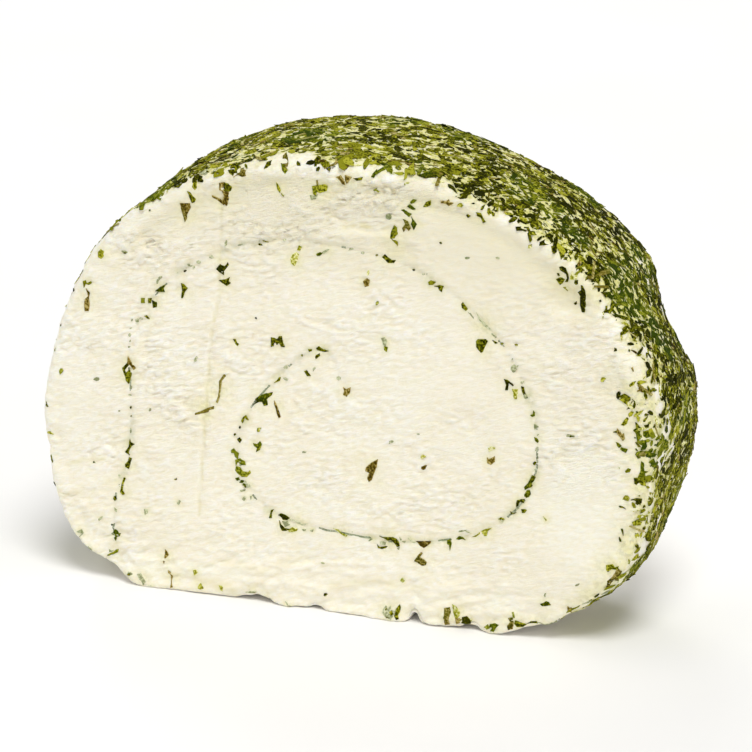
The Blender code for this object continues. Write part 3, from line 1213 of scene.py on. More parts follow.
    def coat_cover(self, places: Array, normals: Array, inside: Array) -> Array:
        """How thickly herbs cover the side at each point, from 0 to 1.

        Args:
            places: Points on the cheese, one row each.
            normals: The normals there.
            inside: How far each point lies inside the outline, seen along the log.

        Returns:
            The share of the full coat at each point.
        """
        angle = turn_round_log(places)
        angles, starts, fulls, shares = np.array(COAT_EDGE).T
        start, full, share = (np.interp(angle, angles, values) for values in (starts, fulls, shares))
        ragged = 1.5 * Noise(81).at(places, (3.0, 9.0, 3.0)) + Noise(82).at(places, (1.1, 9.0, 1.1))
        depth = (places[:, 1] - self.section.front) / MM - 0.45 * ragged
        half = 0.5 * (full - start)
        cover = share * smooth_step((depth - start) / 0.5)
        full = smooth_step((depth - start - half) / np.maximum(half, 0.3))
        cover += (1 - share) * full
        left = (self.section.back_at(places) - places[:, 1]) / MM - 1.2 - 0.45 * ragged
        cover *= smooth_step(left / 1.5 + 0.5)
        cover *= 1 - (0.5 - 0.38 * full) * smooth_step(1.8 * Noise(83).at(places, (2.4, 2.4, 2.4)))
        reach = np.where(start < -0.3, 2.6, 1.6)
        cover *= smooth_step((reach - inside / MM) / 1.2)
        for place, radius in self.bare:
            away = np.linalg.norm(places - np.array(place), axis=1) / (radius * MM)
            cover *= 1 - 0.9 * smooth_step(1.6 - away - 0.5 * ragged)
        underneath = smooth_step((places[:, 2] - 1.0 * MM) / (5 * MM))
        return cover * np.where(normals[:, 2] < -0.5, underneath, 1.0)

    def seen_at(self, column: float, row: float) -> tuple[Vector, Vector]:
        """The place and normal of the cheese that a pixel of the picture shows."""
        start, ray = self.camera.place(), self.camera.ray(column, row)
        place, normal, _, _ = self.tree.ray_cast(start, ray)
        if place is None:
            reach = (self.section.front + MM - start.y) / ray.y
            place, normal, _, _ = self.tree.find_nearest(start + ray * reach)
        return place, normal


@dataclass(frozen=True)
class BitShape:
    """A master shape for one bit of herb: one unit long, wide and thick."""

    corners: int
    ragged: float
    tapered: float = 0.0

    def model(self, random: Random) -> tuple[Array, Array]:
        """Models a thin jagged plate.

        Args:
            random: The source of the uneven outline.

        Returns:
            Its points, one row each, and its triangles, one row each.
        """
        deselect_all()
        bpy.ops.mesh.primitive_circle_add(vertices=self.corners, radius=0.5, fill_type="NGON")
        with editing(bpy.context.object):
            bpy.ops.mesh.poke()
            bpy.ops.mesh.extrude_region_move(TRANSFORM_OT_translate={"value": (0.0, 0.0, 1.0)})
        places, triangles = take_triangles(bpy.context.object)
        places[:, 2] -= 0.5
        turn = np.arctan2(places[:, 1], places[:, 0])
        corner = np.round(turn / (2 * math.pi) * self.corners).astype(int) % self.corners
        reach = 1 - self.ragged * random.random(self.corners)[corner]
        places[:, :2] *= reach[:, None]
        places[:, 1] *= 1 - self.tapered * (places[:, 0] + 0.5)
        return places, triangles


@dataclass(frozen=True)
class StalkShape:
    """A master shape for a bit of stalk: one unit long, wide and thick."""

    sides: int = 5
    cuts: int = 2

    def model(self, random: Random) -> tuple[Array, Array]:
        """Models a thin uneven rod along X.

        Args:
            random: The source of its unevenness.

        Returns:
            Its points, one row each, and its triangles, one row each.
        """
        deselect_all()
        bpy.ops.mesh.primitive_cylinder_add(vertices=self.sides, radius=0.5, depth=1.0)
        for cut in range(1, self.cuts + 1):
            height = cut / (self.cuts + 1) - 0.5
            with editing(bpy.context.object):
                bpy.ops.mesh.bisect(plane_co=(0.0, 0.0, height), plane_no=(0.0, 0.0, 1.0))
        raised, triangles = take_triangles(bpy.context.object)
        places = raised[:, (2, 0, 1)]
        level = np.round((places[:, 0] + 0.5) * (self.cuts + 1)).astype(int)
        girth = random.uniform(0.7, 1.1, self.cuts + 2)
        places[:, 1:] *= girth[level][:, None]
        return places, triangles


ANGULAR = (
    BitShape(7, 0.6), BitShape(8, 0.65), BitShape(6, 0.5, 0.5), BitShape(7, 0.6, 0.4),
    BitShape(8, 0.7, 0.3), BitShape(5, 0.4, 0.3), BitShape(6, 0.6), BitShape(6, 0.5, 0.6),
)
HERB_SHAPES = {
    Herb.DARK: ANGULAR,
    Herb.OLIVE: ANGULAR,
    Herb.FRESH: ANGULAR[:5],
    Herb.BROWN: ANGULAR[1:5],
    Herb.VEILED: ANGULAR[4:],
    Herb.STEM: (StalkShape(), StalkShape(sides=4)),
    Herb.CRUMB: (BitShape(5, 0.5), BitShape(4, 0.3), BitShape(5, 0.5, 0.5)),
}


@dataclass(frozen=True)
class BitSizes:
    """How unevenly bits of herb are sized. Each pair of numbers holds the least and the most."""

    # How far the lengths scatter, and how far they may get from the usual one, as parts of it.
    spread: float
    lengths: tuple[float, float]
    # The widths as parts of the usual width, and the thickness.
    widths: tuple[float, float]
    thick_mm: tuple[float, float]

    def draw(
        self, length_mm: float, slim: float, count: int, random: Random, factor: Array | float = 1.0
    ) -> Array:
        """Draws the sizes of several bits.

        Args:
            length_mm: The usual length.
            slim: The usual width over the length.
            count: How many bits there are.
            random: The source of the sizes.
            factor: How much longer and wider they are, all or each of them.

        Returns:
            Length, width and thickness in metres, one row each.
        """
        scatter = np.clip(random.lognormal(0.0, self.spread, count), *self.lengths)
        lengths = length_mm * MM * scatter * factor
        widths = lengths * slim * random.uniform(*self.widths, count)
        return np.stack((lengths, widths, MM * random.uniform(*self.thick_mm, count)), axis=1)


@dataclass
class HerbMix:
    """Collects every bit of herb by kind, and then joins each kind into one piece."""

    seed: int = 5
    bits: dict[Herb, list[tuple[Array, ...]]] = field(default_factory=dict)
    shapes: dict[Herb, list[tuple[Array, ...]]] = field(default_factory=dict)

    def add(
        self, herb: Herb, places: Array, normals: Array, headings: Array, sizes: Array, tones: Array
    ) -> None:
        """Adds bits of one kind, each with the ways that its flat and its long side face."""
        self.bits.setdefault(herb, []).append((places, normals, headings, sizes, tones))

    def add_shape(self, herb: Herb, points: Array, triangles: Array, tones: Array) -> None:
        """Adds one bit with a shape of its own and a tone at each of its points."""
        self.shapes.setdefault(herb, []).append((points, triangles, tones))

    def build(self) -> list[bpy.types.Object]:
        """Joins the bits of each kind into one piece and dresses it."""
        return [self.join(herb) for herb in Herb if herb in self.bits]

    def join(self, herb: Herb) -> bpy.types.Object:
        """Copies the kind's master shapes to every bit of it.

        Args:
            herb: The kind.

        Returns:
            The joined piece.
        """
        random = np.random.default_rng((self.seed, list(Herb).index(herb)))
        places, normals, headings, sizes, tones = map(np.concatenate, zip(*self.bits[herb]))
        upward = unit(normals)
        forward = unit(headings - upward * np.sum(headings * upward, axis=1, keepdims=True))
        across = np.cross(upward, forward)
        masters = [shape.model(random) for shape in HERB_SHAPES[herb]]
        chosen = random.integers(len(masters), size=len(places))
        curls = random.normal(0.0, 0.28, (len(places), 3))
        points, faces, shades, count = [], [], [], 0
        for number, (master, triangles) in enumerate(masters):
            mine = np.flatnonzero(chosen == number)
            x, y, z = master.T
            size = sizes[mine, :, None]
            curl = np.stack((x * x - 0.1, y * y - 0.1, x * y))
            bent = curls[mine] @ curl * size[:, 1]
            spread = (
                forward[mine, None] * (x * size[:, 0])[..., None]
                + across[mine, None] * (y * size[:, 1])[..., None]
                + upward[mine, None] * (z * size[:, 2] + bent)[..., None]
            )
            points.append((places[mine, None] + spread).reshape(-1, 3))
            starts = count + np.arange(len(mine)) * len(master)
            faces.append((triangles[None] + starts[:, None, None]).reshape(-1, 3))
            shades.append(np.repeat(tones[mine], len(master)))
            count += len(mine) * len(master)
        for shape, triangles, shade in self.shapes.get(herb, []):
            points.append(shape)
            faces.append(triangles + count)
            shades.append(shade)
            count += len(shape)
        joined = np.concatenate(points)
        joined[:, 2] = np.maximum(joined[:, 2], 0.02 * MM)
        mesh = bpy.data.meshes.new(herb.value)
        mesh.from_pydata(joined, [], np.concatenate(faces))
        write_attribute(mesh, "tone", np.concatenate(shades))
        mesh.materials.append(HERB_FINISHES[herb].make())
        piece = bpy.data.objects.new(herb.value, mesh)
        bpy.context.scene.collection.objects.link(piece)
        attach(piece, "root")
        return piece


@dataclass
class HerbCoat:
    """The dried chopped herbs that the log was rolled in, pressed flat into all of its side.

    Rolling has turned the long flakes to lie round the log.
    """

    cheese: CheeseBody
    mix: HerbMix
    seed: int = 17
    tilt: float = math.radians(4.5)
    darts: int = 80000
    gap: float = 0.41 * MM
    # The share of each kind among the flakes, then their usual length in mm and width over length.
    kinds: tuple[tuple[Herb, float, float, float], ...] = (
        (Herb.DARK, 0.43, 1.70, 0.58),
        (Herb.OLIVE, 0.34, 1.65, 0.54),
        (Herb.FRESH, 0.17, 1.70, 0.26),
        (Herb.BROWN, 0.03, 1.50, 0.60),
        (Herb.STEM, 0.03, 2.20, 0.14),
    )
    sizes: BitSizes = BitSizes(0.34, (0.4, 1.9), (0.7, 1.35), (0.06, 0.12))
    crumbs: int = 2600
    crumb_mm: float = 0.42
    crumb_slim: float = 0.75
    # Where the flakes are larger, there are fewer of them, by this power of their size.
    thinning: float = 1.7
    # None lie lower than this.
    lowest: float = 0.4 * MM
    # The middle and the spread of the tones, and how strongly they gather in patches.
    tone: float = 0.41
    tone_spread: float = 0.36
    patchy: float = 0.5

    def build(self) -> None:
        """Picks the places on the cheese's side and adds the flakes to the mix."""
        mesh = self.cheese.piece.data
        mesh.calc_loop_triangles()
        corners = np.empty(len(mesh.loop_triangles) * 3, np.int32)
        mesh.loop_triangles.foreach_get("vertices", corners)
        points = read_places(mesh)[corners].reshape(-1, 3, 3)
        normals = unit(read_normals(mesh)[corners].reshape(-1, 3, 3).mean(axis=1))
        middles = points.mean(axis=1)
        areas = np.linalg.norm(np.cross(points[:, 1] - points[:, 0], points[:, 2] - points[:, 0]), axis=1)
        inside = self.cheese.inside[corners].reshape(-1, 3).mean(axis=1)
        cover = self.cheese.coat_cover(middles, normals, inside)
        cover[normals[:, 1] > 0.85] = 0.0
        cover /= np.interp(turn_round_log(middles), *zip(*COAT_SIZE)) ** self.thinning
        cover *= middles[:, 2] > self.lowest
        chance = areas / areas.sum()
        random = np.random.default_rng(self.seed)
        picked = random.choice(len(points), size=self.darts, p=chance)
        places = self.spread(points[picked], random)
        kept = thin_out(places, self.gap)
        kept = kept[random.random(len(kept)) < cover[picked[kept]]]
        kinds = random.choice(len(self.kinds), size=len(kept), p=[share for _, share, _, _ in self.kinds])
        for number, (herb, _, length, slim) in enumerate(self.kinds):
            mine = kept[kinds == number]
            self.lay(herb, places[mine], normals[picked[mine]], length, slim, random)
        chance = areas * cover
        loose = random.choice(len(points), size=self.crumbs, p=chance / chance.sum())
        places = self.spread(points[loose], random)
        self.lay(Herb.CRUMB, places, normals[loose], self.crumb_mm, self.crumb_slim, random)

    def spread(self, triangles: Array, random: Random) -> Array:
        """A random place on each triangle, one row each."""
        shares = random.dirichlet((1.0, 1.0, 1.0), len(triangles))
        return np.einsum("nk,nkd->nd", shares, triangles)

    def lay(
        self, herb: Herb, places: Array, normals: Array, length: float, slim: float, random: Random
    ) -> None:
        """Lays one bit at each of these places.

        Args:
            herb: The kind.
            places: Where they lie on the cheese.
            normals: The surface's normal at each.
            length: The usual length in millimetres.
            slim: The width over the length.
            random: The source of everything uneven.
        """
        count = len(places)
        larger = np.interp(turn_round_log(places), *zip(*COAT_SIZE))
        sizes = self.sizes.draw(length, slim, count, random, larger)
        leaning = unit(normals + math.tan(self.tilt) * random.normal(0.0, 1.0, (count, 3)))
        rise = random.uniform(-0.03, 0.08, count) * MM
        headings = 0.6 * np.cross(normals, (0.0, 1.0, 0.0)) + random.normal(0.0, 0.6, (count, 3))
        tones = random.normal(self.tone, self.tone_spread, count)
        tones += self.patchy * Noise(84).at(places, (2.6, 2.6, 2.6))
        # Painted light and shade round the log.
        tones += np.interp(turn_round_log(places), *zip(*COAT_PAINTED_LIGHT))
        self.mix.add(herb, places + normals * rise[:, None], leaning, headings, sizes, tones)


def thin_out(places: Array, gap: float) -> Array:
    """Numbers of the places that are kept when each one clears a gap around it.

    Args:
        places: Points in space, one row each.
        gap: How near two kept places may lie.

    Returns:
        The kept rows' numbers.
    """
    tree = KDTree(len(places))
    for number, place in enumerate(places):
        tree.insert(place, number)
    tree.balance()
    free = np.ones(len(places), bool)
    kept = []
    for number, place in enumerate(places):
        if free[number]:
            kept.append(number)
            free[[other for _, other, _ in tree.find_range(place, gap)]] = False
    return np.array(kept)


def split_seen(seen: Iterable[tuple[Vector, Vector]]) -> tuple[Array, Array]:
    """The places and the normals of several pairs of them, one row each."""
    places, normals = zip(*seen)
    return np.array(places), np.array(normals)


# How much nearer to their shaded colour the outlined bits of these kinds are.
DEEPER = {Herb.FRESH: 0.3, Herb.VEILED: 0.15}

# How many pixels of the picture one millimetre of the front cut takes up.
PIXELS_PER_MM = 7.06

# Small bits of herb in the front cut and on its rim, placed by the picture: the pixel column and row
# of each one's middle, its length and width in mm, and the turn of its long side from the horizontal
# in degrees, anticlockwise.
FLECKS = {
    Herb.DARK: read_rows("""
    125 253 0.5 0.4 0; 185 271 0.6 0.5 10; 61 325 0.6 0.4 90; 55 350 0.6 0.4 85; 47 405 0.9 0.4 95;
    74 290 0.5 0.3 80; 571 436 0.7 0.35 10; 240 427 0.4 0.3 60; 235 434 0.4 0.3 60; 441 243 0.4 0.3 0;
    537 458 0.4 0.3 0; 377 255 0.4 0.3 0; 414 270 0.4 0.3 0; 94 462 0.4 0.3 0; 131 407 0.5 0.3 50;
    131 416 0.5 0.3 20; 256 318 0.4 0.3 -30; 52 459 1.0 0.4 85; 55 484 0.8 0.3 80; 129 574 0.6 0.5 60;
    176 479 0.5 0.3 40
    """),
    Herb.OLIVE: read_rows("""
    283 195 0.7 0.3 -50; 246 166 0.9 0.6 -60; 534 463 0.6 0.5 30; 622 530 1.6 0.5 -72;
    622 507 1.0 0.4 -20; 502 208 1.0 0.7 -40; 318 169 0.8 0.5 60; 298 164 1.0 0.6 -60;
    265 241 0.8 0.25 10; 260 244 0.8 0.3 -10; 325 594 0.6 0.5 0; 516 345 0.5 0.3 0
    """),
    Herb.FRESH: read_rows("""
    61 371 0.8 0.6 60; 50 433 0.9 0.6 0; 530 246 0.9 0.7 20; 603 380 0.8 0.6 20; 259 430 0.8 0.5 40;
    626 498 0.9 0.8 20; 423 457 0.8 0.6 20; 460 205 0.8 0.6 10; 377 303 0.6 0.4 60;
    407 183 0.6 0.5 20; 368 273 0.8 0.5 60; 568 259 0.8 0.5 60; 405 184 0.5 0.3 60; 377 190 0.8 0.6 0
    """),
    Herb.BROWN: read_rows("""
    424 467 0.9 0.8 30; 438 172 1.5 1.2 40; 506 211 1.1 0.5 65; 641 390 1.1 0.5 -35
    """),
    Herb.VEILED: read_rows("""
    97 379 0.8 0.7 30; 498 258 0.5 0.4 0; 467 258 0.8 0.6 10; 570 436 1.4 0.6 0; 391 442 0.8 0.6 10;
    418 434 0.5 0.4 0; 304 452 0.7 0.5 5; 130 395 0.6 0.5 0; 132 320 0.5 0.4 60; 131 328 0.5 0.3 20;
    130 335 0.4 0.4 0; 130 341 0.4 0.3 80; 129 347 0.4 0.4 0; 150 410 0.6 0.4 80; 196 359 0.9 0.5 60;
    119 411 0.4 0.3 0; 314 369 0.7 0.5 30; 286 367 0.6 0.5 30; 351 249 0.8 0.5 0; 536 449 0.7 0.4 80;
    383 543 0.9 0.7 0; 226 243 0.8 0.4 80; 205 172 1.2 0.6 20; 215 170 1.0 0.6 10; 389 217 0.8 0.7 0;
    363 253 0.5 0.4 0; 423 274 0.6 0.5 0; 514 368 1.1 0.7 60; 522 382 0.6 0.4 0; 471 315 1.2 0.3 -60;
    125 252 0.8 0.6 0; 285 240 0.5 0.3 0; 212 257 0.7 0.4 0; 199 262 0.6 0.4 0; 189 265 0.4 0.4 0;
    194 267 0.4 0.3 0; 286 379 0.7 0.5 0; 339 378 0.6 0.5 0; 160 278 1.0 0.6 30; 240 245 0.9 0.3 5;
    462 531 1.4 0.4 15; 131 431 0.8 0.4 80; 131 387 0.6 0.4 80; 323 563 0.5 0.4 0; 577 585 0.8 0.5 40;
    545 595 0.6 0.4 60
    """),
    Herb.STEM: read_rows("""
    645 390 1.8 0.3 -40; 330 166 1.3 0.25 20; 317 181 0.9 0.2 90
    """),
}

# Larger bits, each by its outline: pairs of a column and a row of the picture.
OUTLINES = {
    Herb.DARK: read_outlines("""
    187,191 190,192 193,196 196,199 195,202 192,203 189,197; 224,182 229,184 232,187 231,191 228,192
    224,191; 228,170 234,169 236,172 233,176 229,173; 181,283 184,284 188,288 185,292 183,298 181,298
    182,290; 216,269 220,264 225,266 228,262 229,265 225,270 224,275 219,272; 219,280 226,279 230,277
    229,281 231,283 227,286 222,283; 155,291 160,287 166,284 164,288 165,292 160,292; 148,298 152,298
    151,303 148,303; 152,300 157,302 157,307 153,308; 144,316 147,315 150,319 148,319; 83,281 86,280 87,283
    91,281 92,283 89,285 86,284 84,288; 127,363 129,365 125,370 127,374 124,374 122,368; 124,374 130,369
    132,373 131,379 129,384 126,381; 271,337 275,338 277,339 279,336 282,336 283,341 285,347 281,347
    279,343 277,345 275,342 274,346 271,347; 308,349 312,349 312,351 309,352; 316,348 319,346 323,349
    329,351 325,352 321,351 317,350; 316,355 320,353 320,356 316,359 315,357; 273,392 266,393 259,396
    255,399 257,401 253,405 259,402 262,402 264,406 268,405 267,399 272,395; 243,417 246,415 249,420
    247,420 245,418 243,423 241,421; 237,439 240,437 242,440 240,443 238,441; 231,450 234,448 236,451
    239,453 238,459 235,457 234,453 231,453; 353,178 358,178 363,177 362,180 357,181; 377,169 378,172
    374,178 371,177 373,173; 410,202 413,199 417,200 414,203 411,204; 407,206 410,204 416,209 413,210
    409,208; 401,210 404,209 412,214 409,217 405,214; 411,216 413,219 417,224 414,230 411,224 412,221;
    394,225 397,227 398,234 395,237 398,242 398,246 394,242 390,238 391,232; 466,215 468,214 471,216
    468,218; 476,212 481,213 483,217 486,222 483,223 481,218 477,216; 382,257 385,254 388,257 392,260
    396,260 394,263 388,263 385,260; 428,282 431,280 436,282 433,285 429,285; 434,286 440,285 444,286
    443,288 442,292 439,290 438,287; 461,304 463,302 466,306 468,309 466,311 462,308; 492,340 495,341
    498,343 495,344; 504,379 508,380 514,385 513,386 509,383 508,390 505,390 506,385; 521,386 524,387
    525,392 528,398 525,398 522,392; 530,415 533,414 533,410 535,412 535,416 532,417; 534,437 537,438
    539,441 538,443 535,441; 532,475 536,477 534,481 532,483 532,487 529,488 525,490 524,487 528,483;
    527,490 530,490 531,494 529,497 526,498 524,495; 517,500 522,499 525,499 524,503 520,502 518,506
    516,507 516,503; 510,511 513,513 517,512 514,514 511,514; 521,509 525,509 527,510 525,513 522,513;
    130,439 131,442 135,444 132,446 130,449 129,452 130,455 128,454 125,452 127,449 129,446 129,442;
    129,457 132,458 131,462 130,466 129,469 125,467 125,464 128,461; 114,496 116,496 117,499 115,501
    113,499; 115,529 117,530 119,533 121,533 120,536 117,537 116,541 114,538 115,534 113,532; 235,478
    239,477 240,480 237,481; 271,510 274,509 272,513 272,518 269,518 270,514; 278,515 281,513 286,515
    290,518 287,520 283,520 281,517; 279,520 281,524 285,528 290,529 286,531 282,531 280,527; 379,536
    383,537 388,537 393,537 397,539 399,542 400,546 397,547 395,544 391,540 388,541 385,539; 377,544
    380,547 385,546 388,546 386,548 382,549 378,548; 447,540 450,539 452,543 451,547 450,551 449,545
    447,544; 456,539 459,536 463,537 466,540 462,539 459,540; 490,624 495,623 499,625 496,628 494,632
    490,631 492,628 489,627; 526,624 531,621 537,621 538,623 532,623; 566,613 568,610 573,608 580,605
    579,607 573,610 569,612; 559,267 562,266 566,268 568,273 569,278 568,282 565,282 567,278 566,274
    563,272 560,270; 556,279 561,277 565,279 563,283 560,285 558,282; 557,273 559,273 560,276 558,276;
    575,280 578,280 578,284 576,285 574,283; 574,303 577,301 577,304 575,305; 581,285 583,286 585,290
    586,296 586,305 585,312 582,312 580,305 580,296 578,292 581,290; 559,252 564,252 563,257 561,260
    560,256; 551,246 557,246 557,252 554,254 552,252; 581,262 587,262 592,266 597,272 600,280 599,285
    595,281 591,273 586,269; 585,281 586,277 590,273 592,275 588,279; 636,411 639,412 638,414 636,413;
    613,432 617,430 617,433; 616,442 619,443 622,446 619,448 617,446; 625,471 628,468 631,469 630,472
    626,473; 635,422 638,424 641,428 640,433 641,439 637,441 636,434 633,430 636,428; 643,420 648,415
    648,417 645,422 643,422; 644,425 649,424 649,428 645,428; 643,431 648,430 652,433 650,437 646,438
    643,436; 645,441 646,444 645,449 643,447; 476,341 478,339 486,339 488,341 485,347 483,352 481,353
    479,351 476,347
    """),
    Herb.OLIVE: read_outlines("""
    193,182 197,181 197,188 195,190 192,187; 276,182 278,184 281,190 280,193 277,189; 312,186 319,185
    325,184 328,186 327,191 320,193 317,192 316,196 313,194; 264,169 267,162 272,160 271,165 267,168;
    281,163 286,165 288,170 285,174 282,170; 98,252 101,249 104,251 104,256 101,259 98,257; 235,460 240,458
    245,461 246,465 241,465 238,462 236,466; 236,466 240,467 243,471 248,472 250,470 251,473 247,477
    242,477 237,473 235,470; 423,207 426,202 431,200 431,205 427,207; 498,519 501,517 505,519 502,521;
    304,371 307,370 311,376 307,376; 277,380 279,377 281,377 280,381 274,383; 384,346 388,347 387,352
    384,350; 233,339 236,339 239,344 238,346 236,345; 253,443 257,444 260,441 262,444 260,450 256,452
    257,448 254,446; 124,477 126,478 124,483 123,489 125,494 123,495 120,492 121,487 122,482; 515,620
    520,622 527,624 523,627 517,627 514,624; 540,604 543,603 546,601 549,602 551,605 546,606 542,606;
    606,565 613,564 615,567 619,566 617,570 612,569 608,572 606,570; 563,287 566,287 568,291 565,289;
    629,385 632,382 636,381 634,385 630,387; 619,399 627,398 628,405 624,403; 632,399 635,401 636,404
    635,408 631,409 633,405 634,402; 628,414 631,411 634,412 632,416 629,417; 627,417 629,419 627,424
    624,426 621,425 624,420; 621,447 624,448 628,449 626,453 622,451 620,449; 641,461 644,463 645,472
    646,486 641,485 637,479 640,472; 462,617 467,616 470,619 471,623 465,625 461,623; 396,609 398,606
    400,604 401,607 400,612 398,615 399,619 396,620 394,616 395,612; 113,552 117,549 119,549 118,552
    114,554 109,556 107,555 110,553; 316,254 320,252 323,253 320,256 317,256; 384,608 386,606 388,609
    386,611; 389,612 392,610 394,614 391,616; 385,615 388,614 389,618 386,618
    """),
    Herb.FRESH: read_outlines("""
    292,254 296,252 299,254 298,260 295,266 291,264 290,258; 297,250 299,245 302,247 300,251; 141,298
    145,298 145,303 141,303; 512,389 518,389 518,394 517,399 514,399 513,394; 488,448 491,446 496,448
    493,450 489,452; 543,516 547,520 546,521; 193,570 196,569 198,572 196,575 194,575; 333,528 338,529
    342,533 348,535 346,537 341,534 337,531; 452,604 456,606 460,612 462,620 458,622 455,618 453,612;
    512,612 514,612 515,618 513,618; 484,627 488,624 490,628 487,630; 197,588 199,584 201,583 204,588
    201,590; 219,585 223,586 223,591 220,590; 288,530 292,527 295,527 298,529 297,531 293,532 289,532;
    481,531 485,529 492,528 488,531 487,536 484,536; 472,537 476,535 480,532 480,534 476,537; 468,623
    470,619 473,618 471,622 469,624; 572,271 574,274 578,274 577,279 573,280 570,280 570,276; 401,579
    403,577 405,581 403,583 400,581
    """),
    Herb.BROWN: read_outlines("""
    180,203 190,203 191,207 188,213 187,219 185,222 183,216 181,209; 212,195 219,198 225,203 224,205
    217,200 212,197; 222,191 229,192 229,199 227,206 222,202 224,196; 219,183 224,182 224,192 219,190;
    86,288 90,293 89,298 90,304 89,311 85,311 84,304 85,299 88,296; 274,400 276,403 279,411 281,417 279,418
    277,414 276,409 274,404; 233,177 240,172 241,168 246,170 246,176 242,177 238,175; 441,201 446,201
    449,199 450,202 454,203 449,206 446,204 441,203; 341,166 350,165 347,169 344,171; 336,177 341,175
    343,178 345,182 345,185 342,184 340,181; 345,175 352,177 350,180 347,184 345,180; 487,457 489,459
    495,456 495,462 491,465 487,463; 378,459 372,462 366,467 365,471 369,473 367,478 369,482 372,480
    374,474 377,467; 343,387 346,389 351,387 350,393 347,397 343,395 344,391; 363,281 367,278 370,280
    369,286 365,287; 403,219 408,221 411,228 409,231 406,228 404,232 402,228 405,224; 128,356 131,361
    136,368 134,370 130,365 127,364; 165,549 167,551 169,555 166,558 164,564 163,561 164,557 165,554;
    168,570 171,572 173,576 172,580 173,587 170,588 171,581 171,576 168,573; 416,541 424,541 431,541
    431,543 427,546 424,548 420,546 418,543; 421,552 423,553 420,557 425,560 427,562 426,565 422,566
    418,563 414,561 416,558 418,555; 444,608 450,607 451,612 449,618 450,624 445,625 443,618 444,613;
    508,618 513,617 514,623 513,629 508,630 507,626 510,622; 618,568 622,571 620,576 619,581 613,581
    609,587 606,588 607,581 611,578 614,574; 631,368 633,367 634,371 633,372; 617,428 620,431 622,434
    624,433 625,439 623,441 620,437 617,434; 635,442 638,442 641,447 638,447; 635,454 640,451 646,451
    648,454 644,457 640,456 638,459 636,456; 455,618 460,618 460,623 456,624
    """),
    Herb.VEILED: read_outlines("""
    88,546 92,549 96,554 93,552 89,549; 148,585 152,585 152,588 149,588; 144,509 148,509 148,513 145,515 ;
    77,531 82,529 84,533 80,537 78,537; 240,480 245,482 250,484 251,487 248,488 243,484; 250,496 252,496
    251,500; 282,521 288,521 290,525 285,527; 383,609 386,605 388,608 391,605 391,610 395,611 393,617
    391,620 387,618 384,616 382,613; 310,195 314,196 318,194 316,199 311,200; 476,312 480,317 486,324
    491,329 491,331 485,327 479,320; 492,333 497,337 496,338 491,334; 538,622 546,624 552,622 557,620
    556,621 550,624 543,625; 582,604 588,601 593,600 588,603; 290,519 295,520 301,522 303,524 308,523
    305,525 299,524 294,521; 302,529 306,529 306,531 303,531; 245,592 250,591 256,591 256,593 249,593;
    265,596 268,598 272,601 270,602 266,599; 285,601 288,603 292,606 290,607 287,605; 240,490 246,489
    245,491 241,492; 243,497 245,496 246,499 244,501 242,499; 397,548 400,547 399,550; 402,541 406,541
    405,543; 408,537 411,540 416,542 414,543 410,541; 602,597 607,593 613,588 619,584 618,587 611,592
    605,597; 128,572 131,572 133,574 130,576 127,575; 534,424 537,425 539,427 536,428 535,430 534,427;
    114,507 117,509 117,512 115,511; 109,549 111,550 114,550 112,552 109,552; 137,574 141,573 143,577
    146,582 147,587 143,585 139,579; 177,503 179,500 181,501 179,505; 368,541 371,538 373,539 370,541;
    310,530 314,529 313,532 310,531; 381,338 385,337 387,341 386,346 383,345 382,341; 322,252 327,249
    330,249 324,254; 618,467 620,467 620,469; 98,519 100,517 103,516 102,519 99,521
    """),
    Herb.STEM: read_outlines("""
    224,374 226,376 222,381 221,390 220,397 218,403 216,402 218,396 219,388 219,381; 195,413 203,410
    210,407 214,406 214,409 208,412 200,414 195,415
    """
    ),
    
}


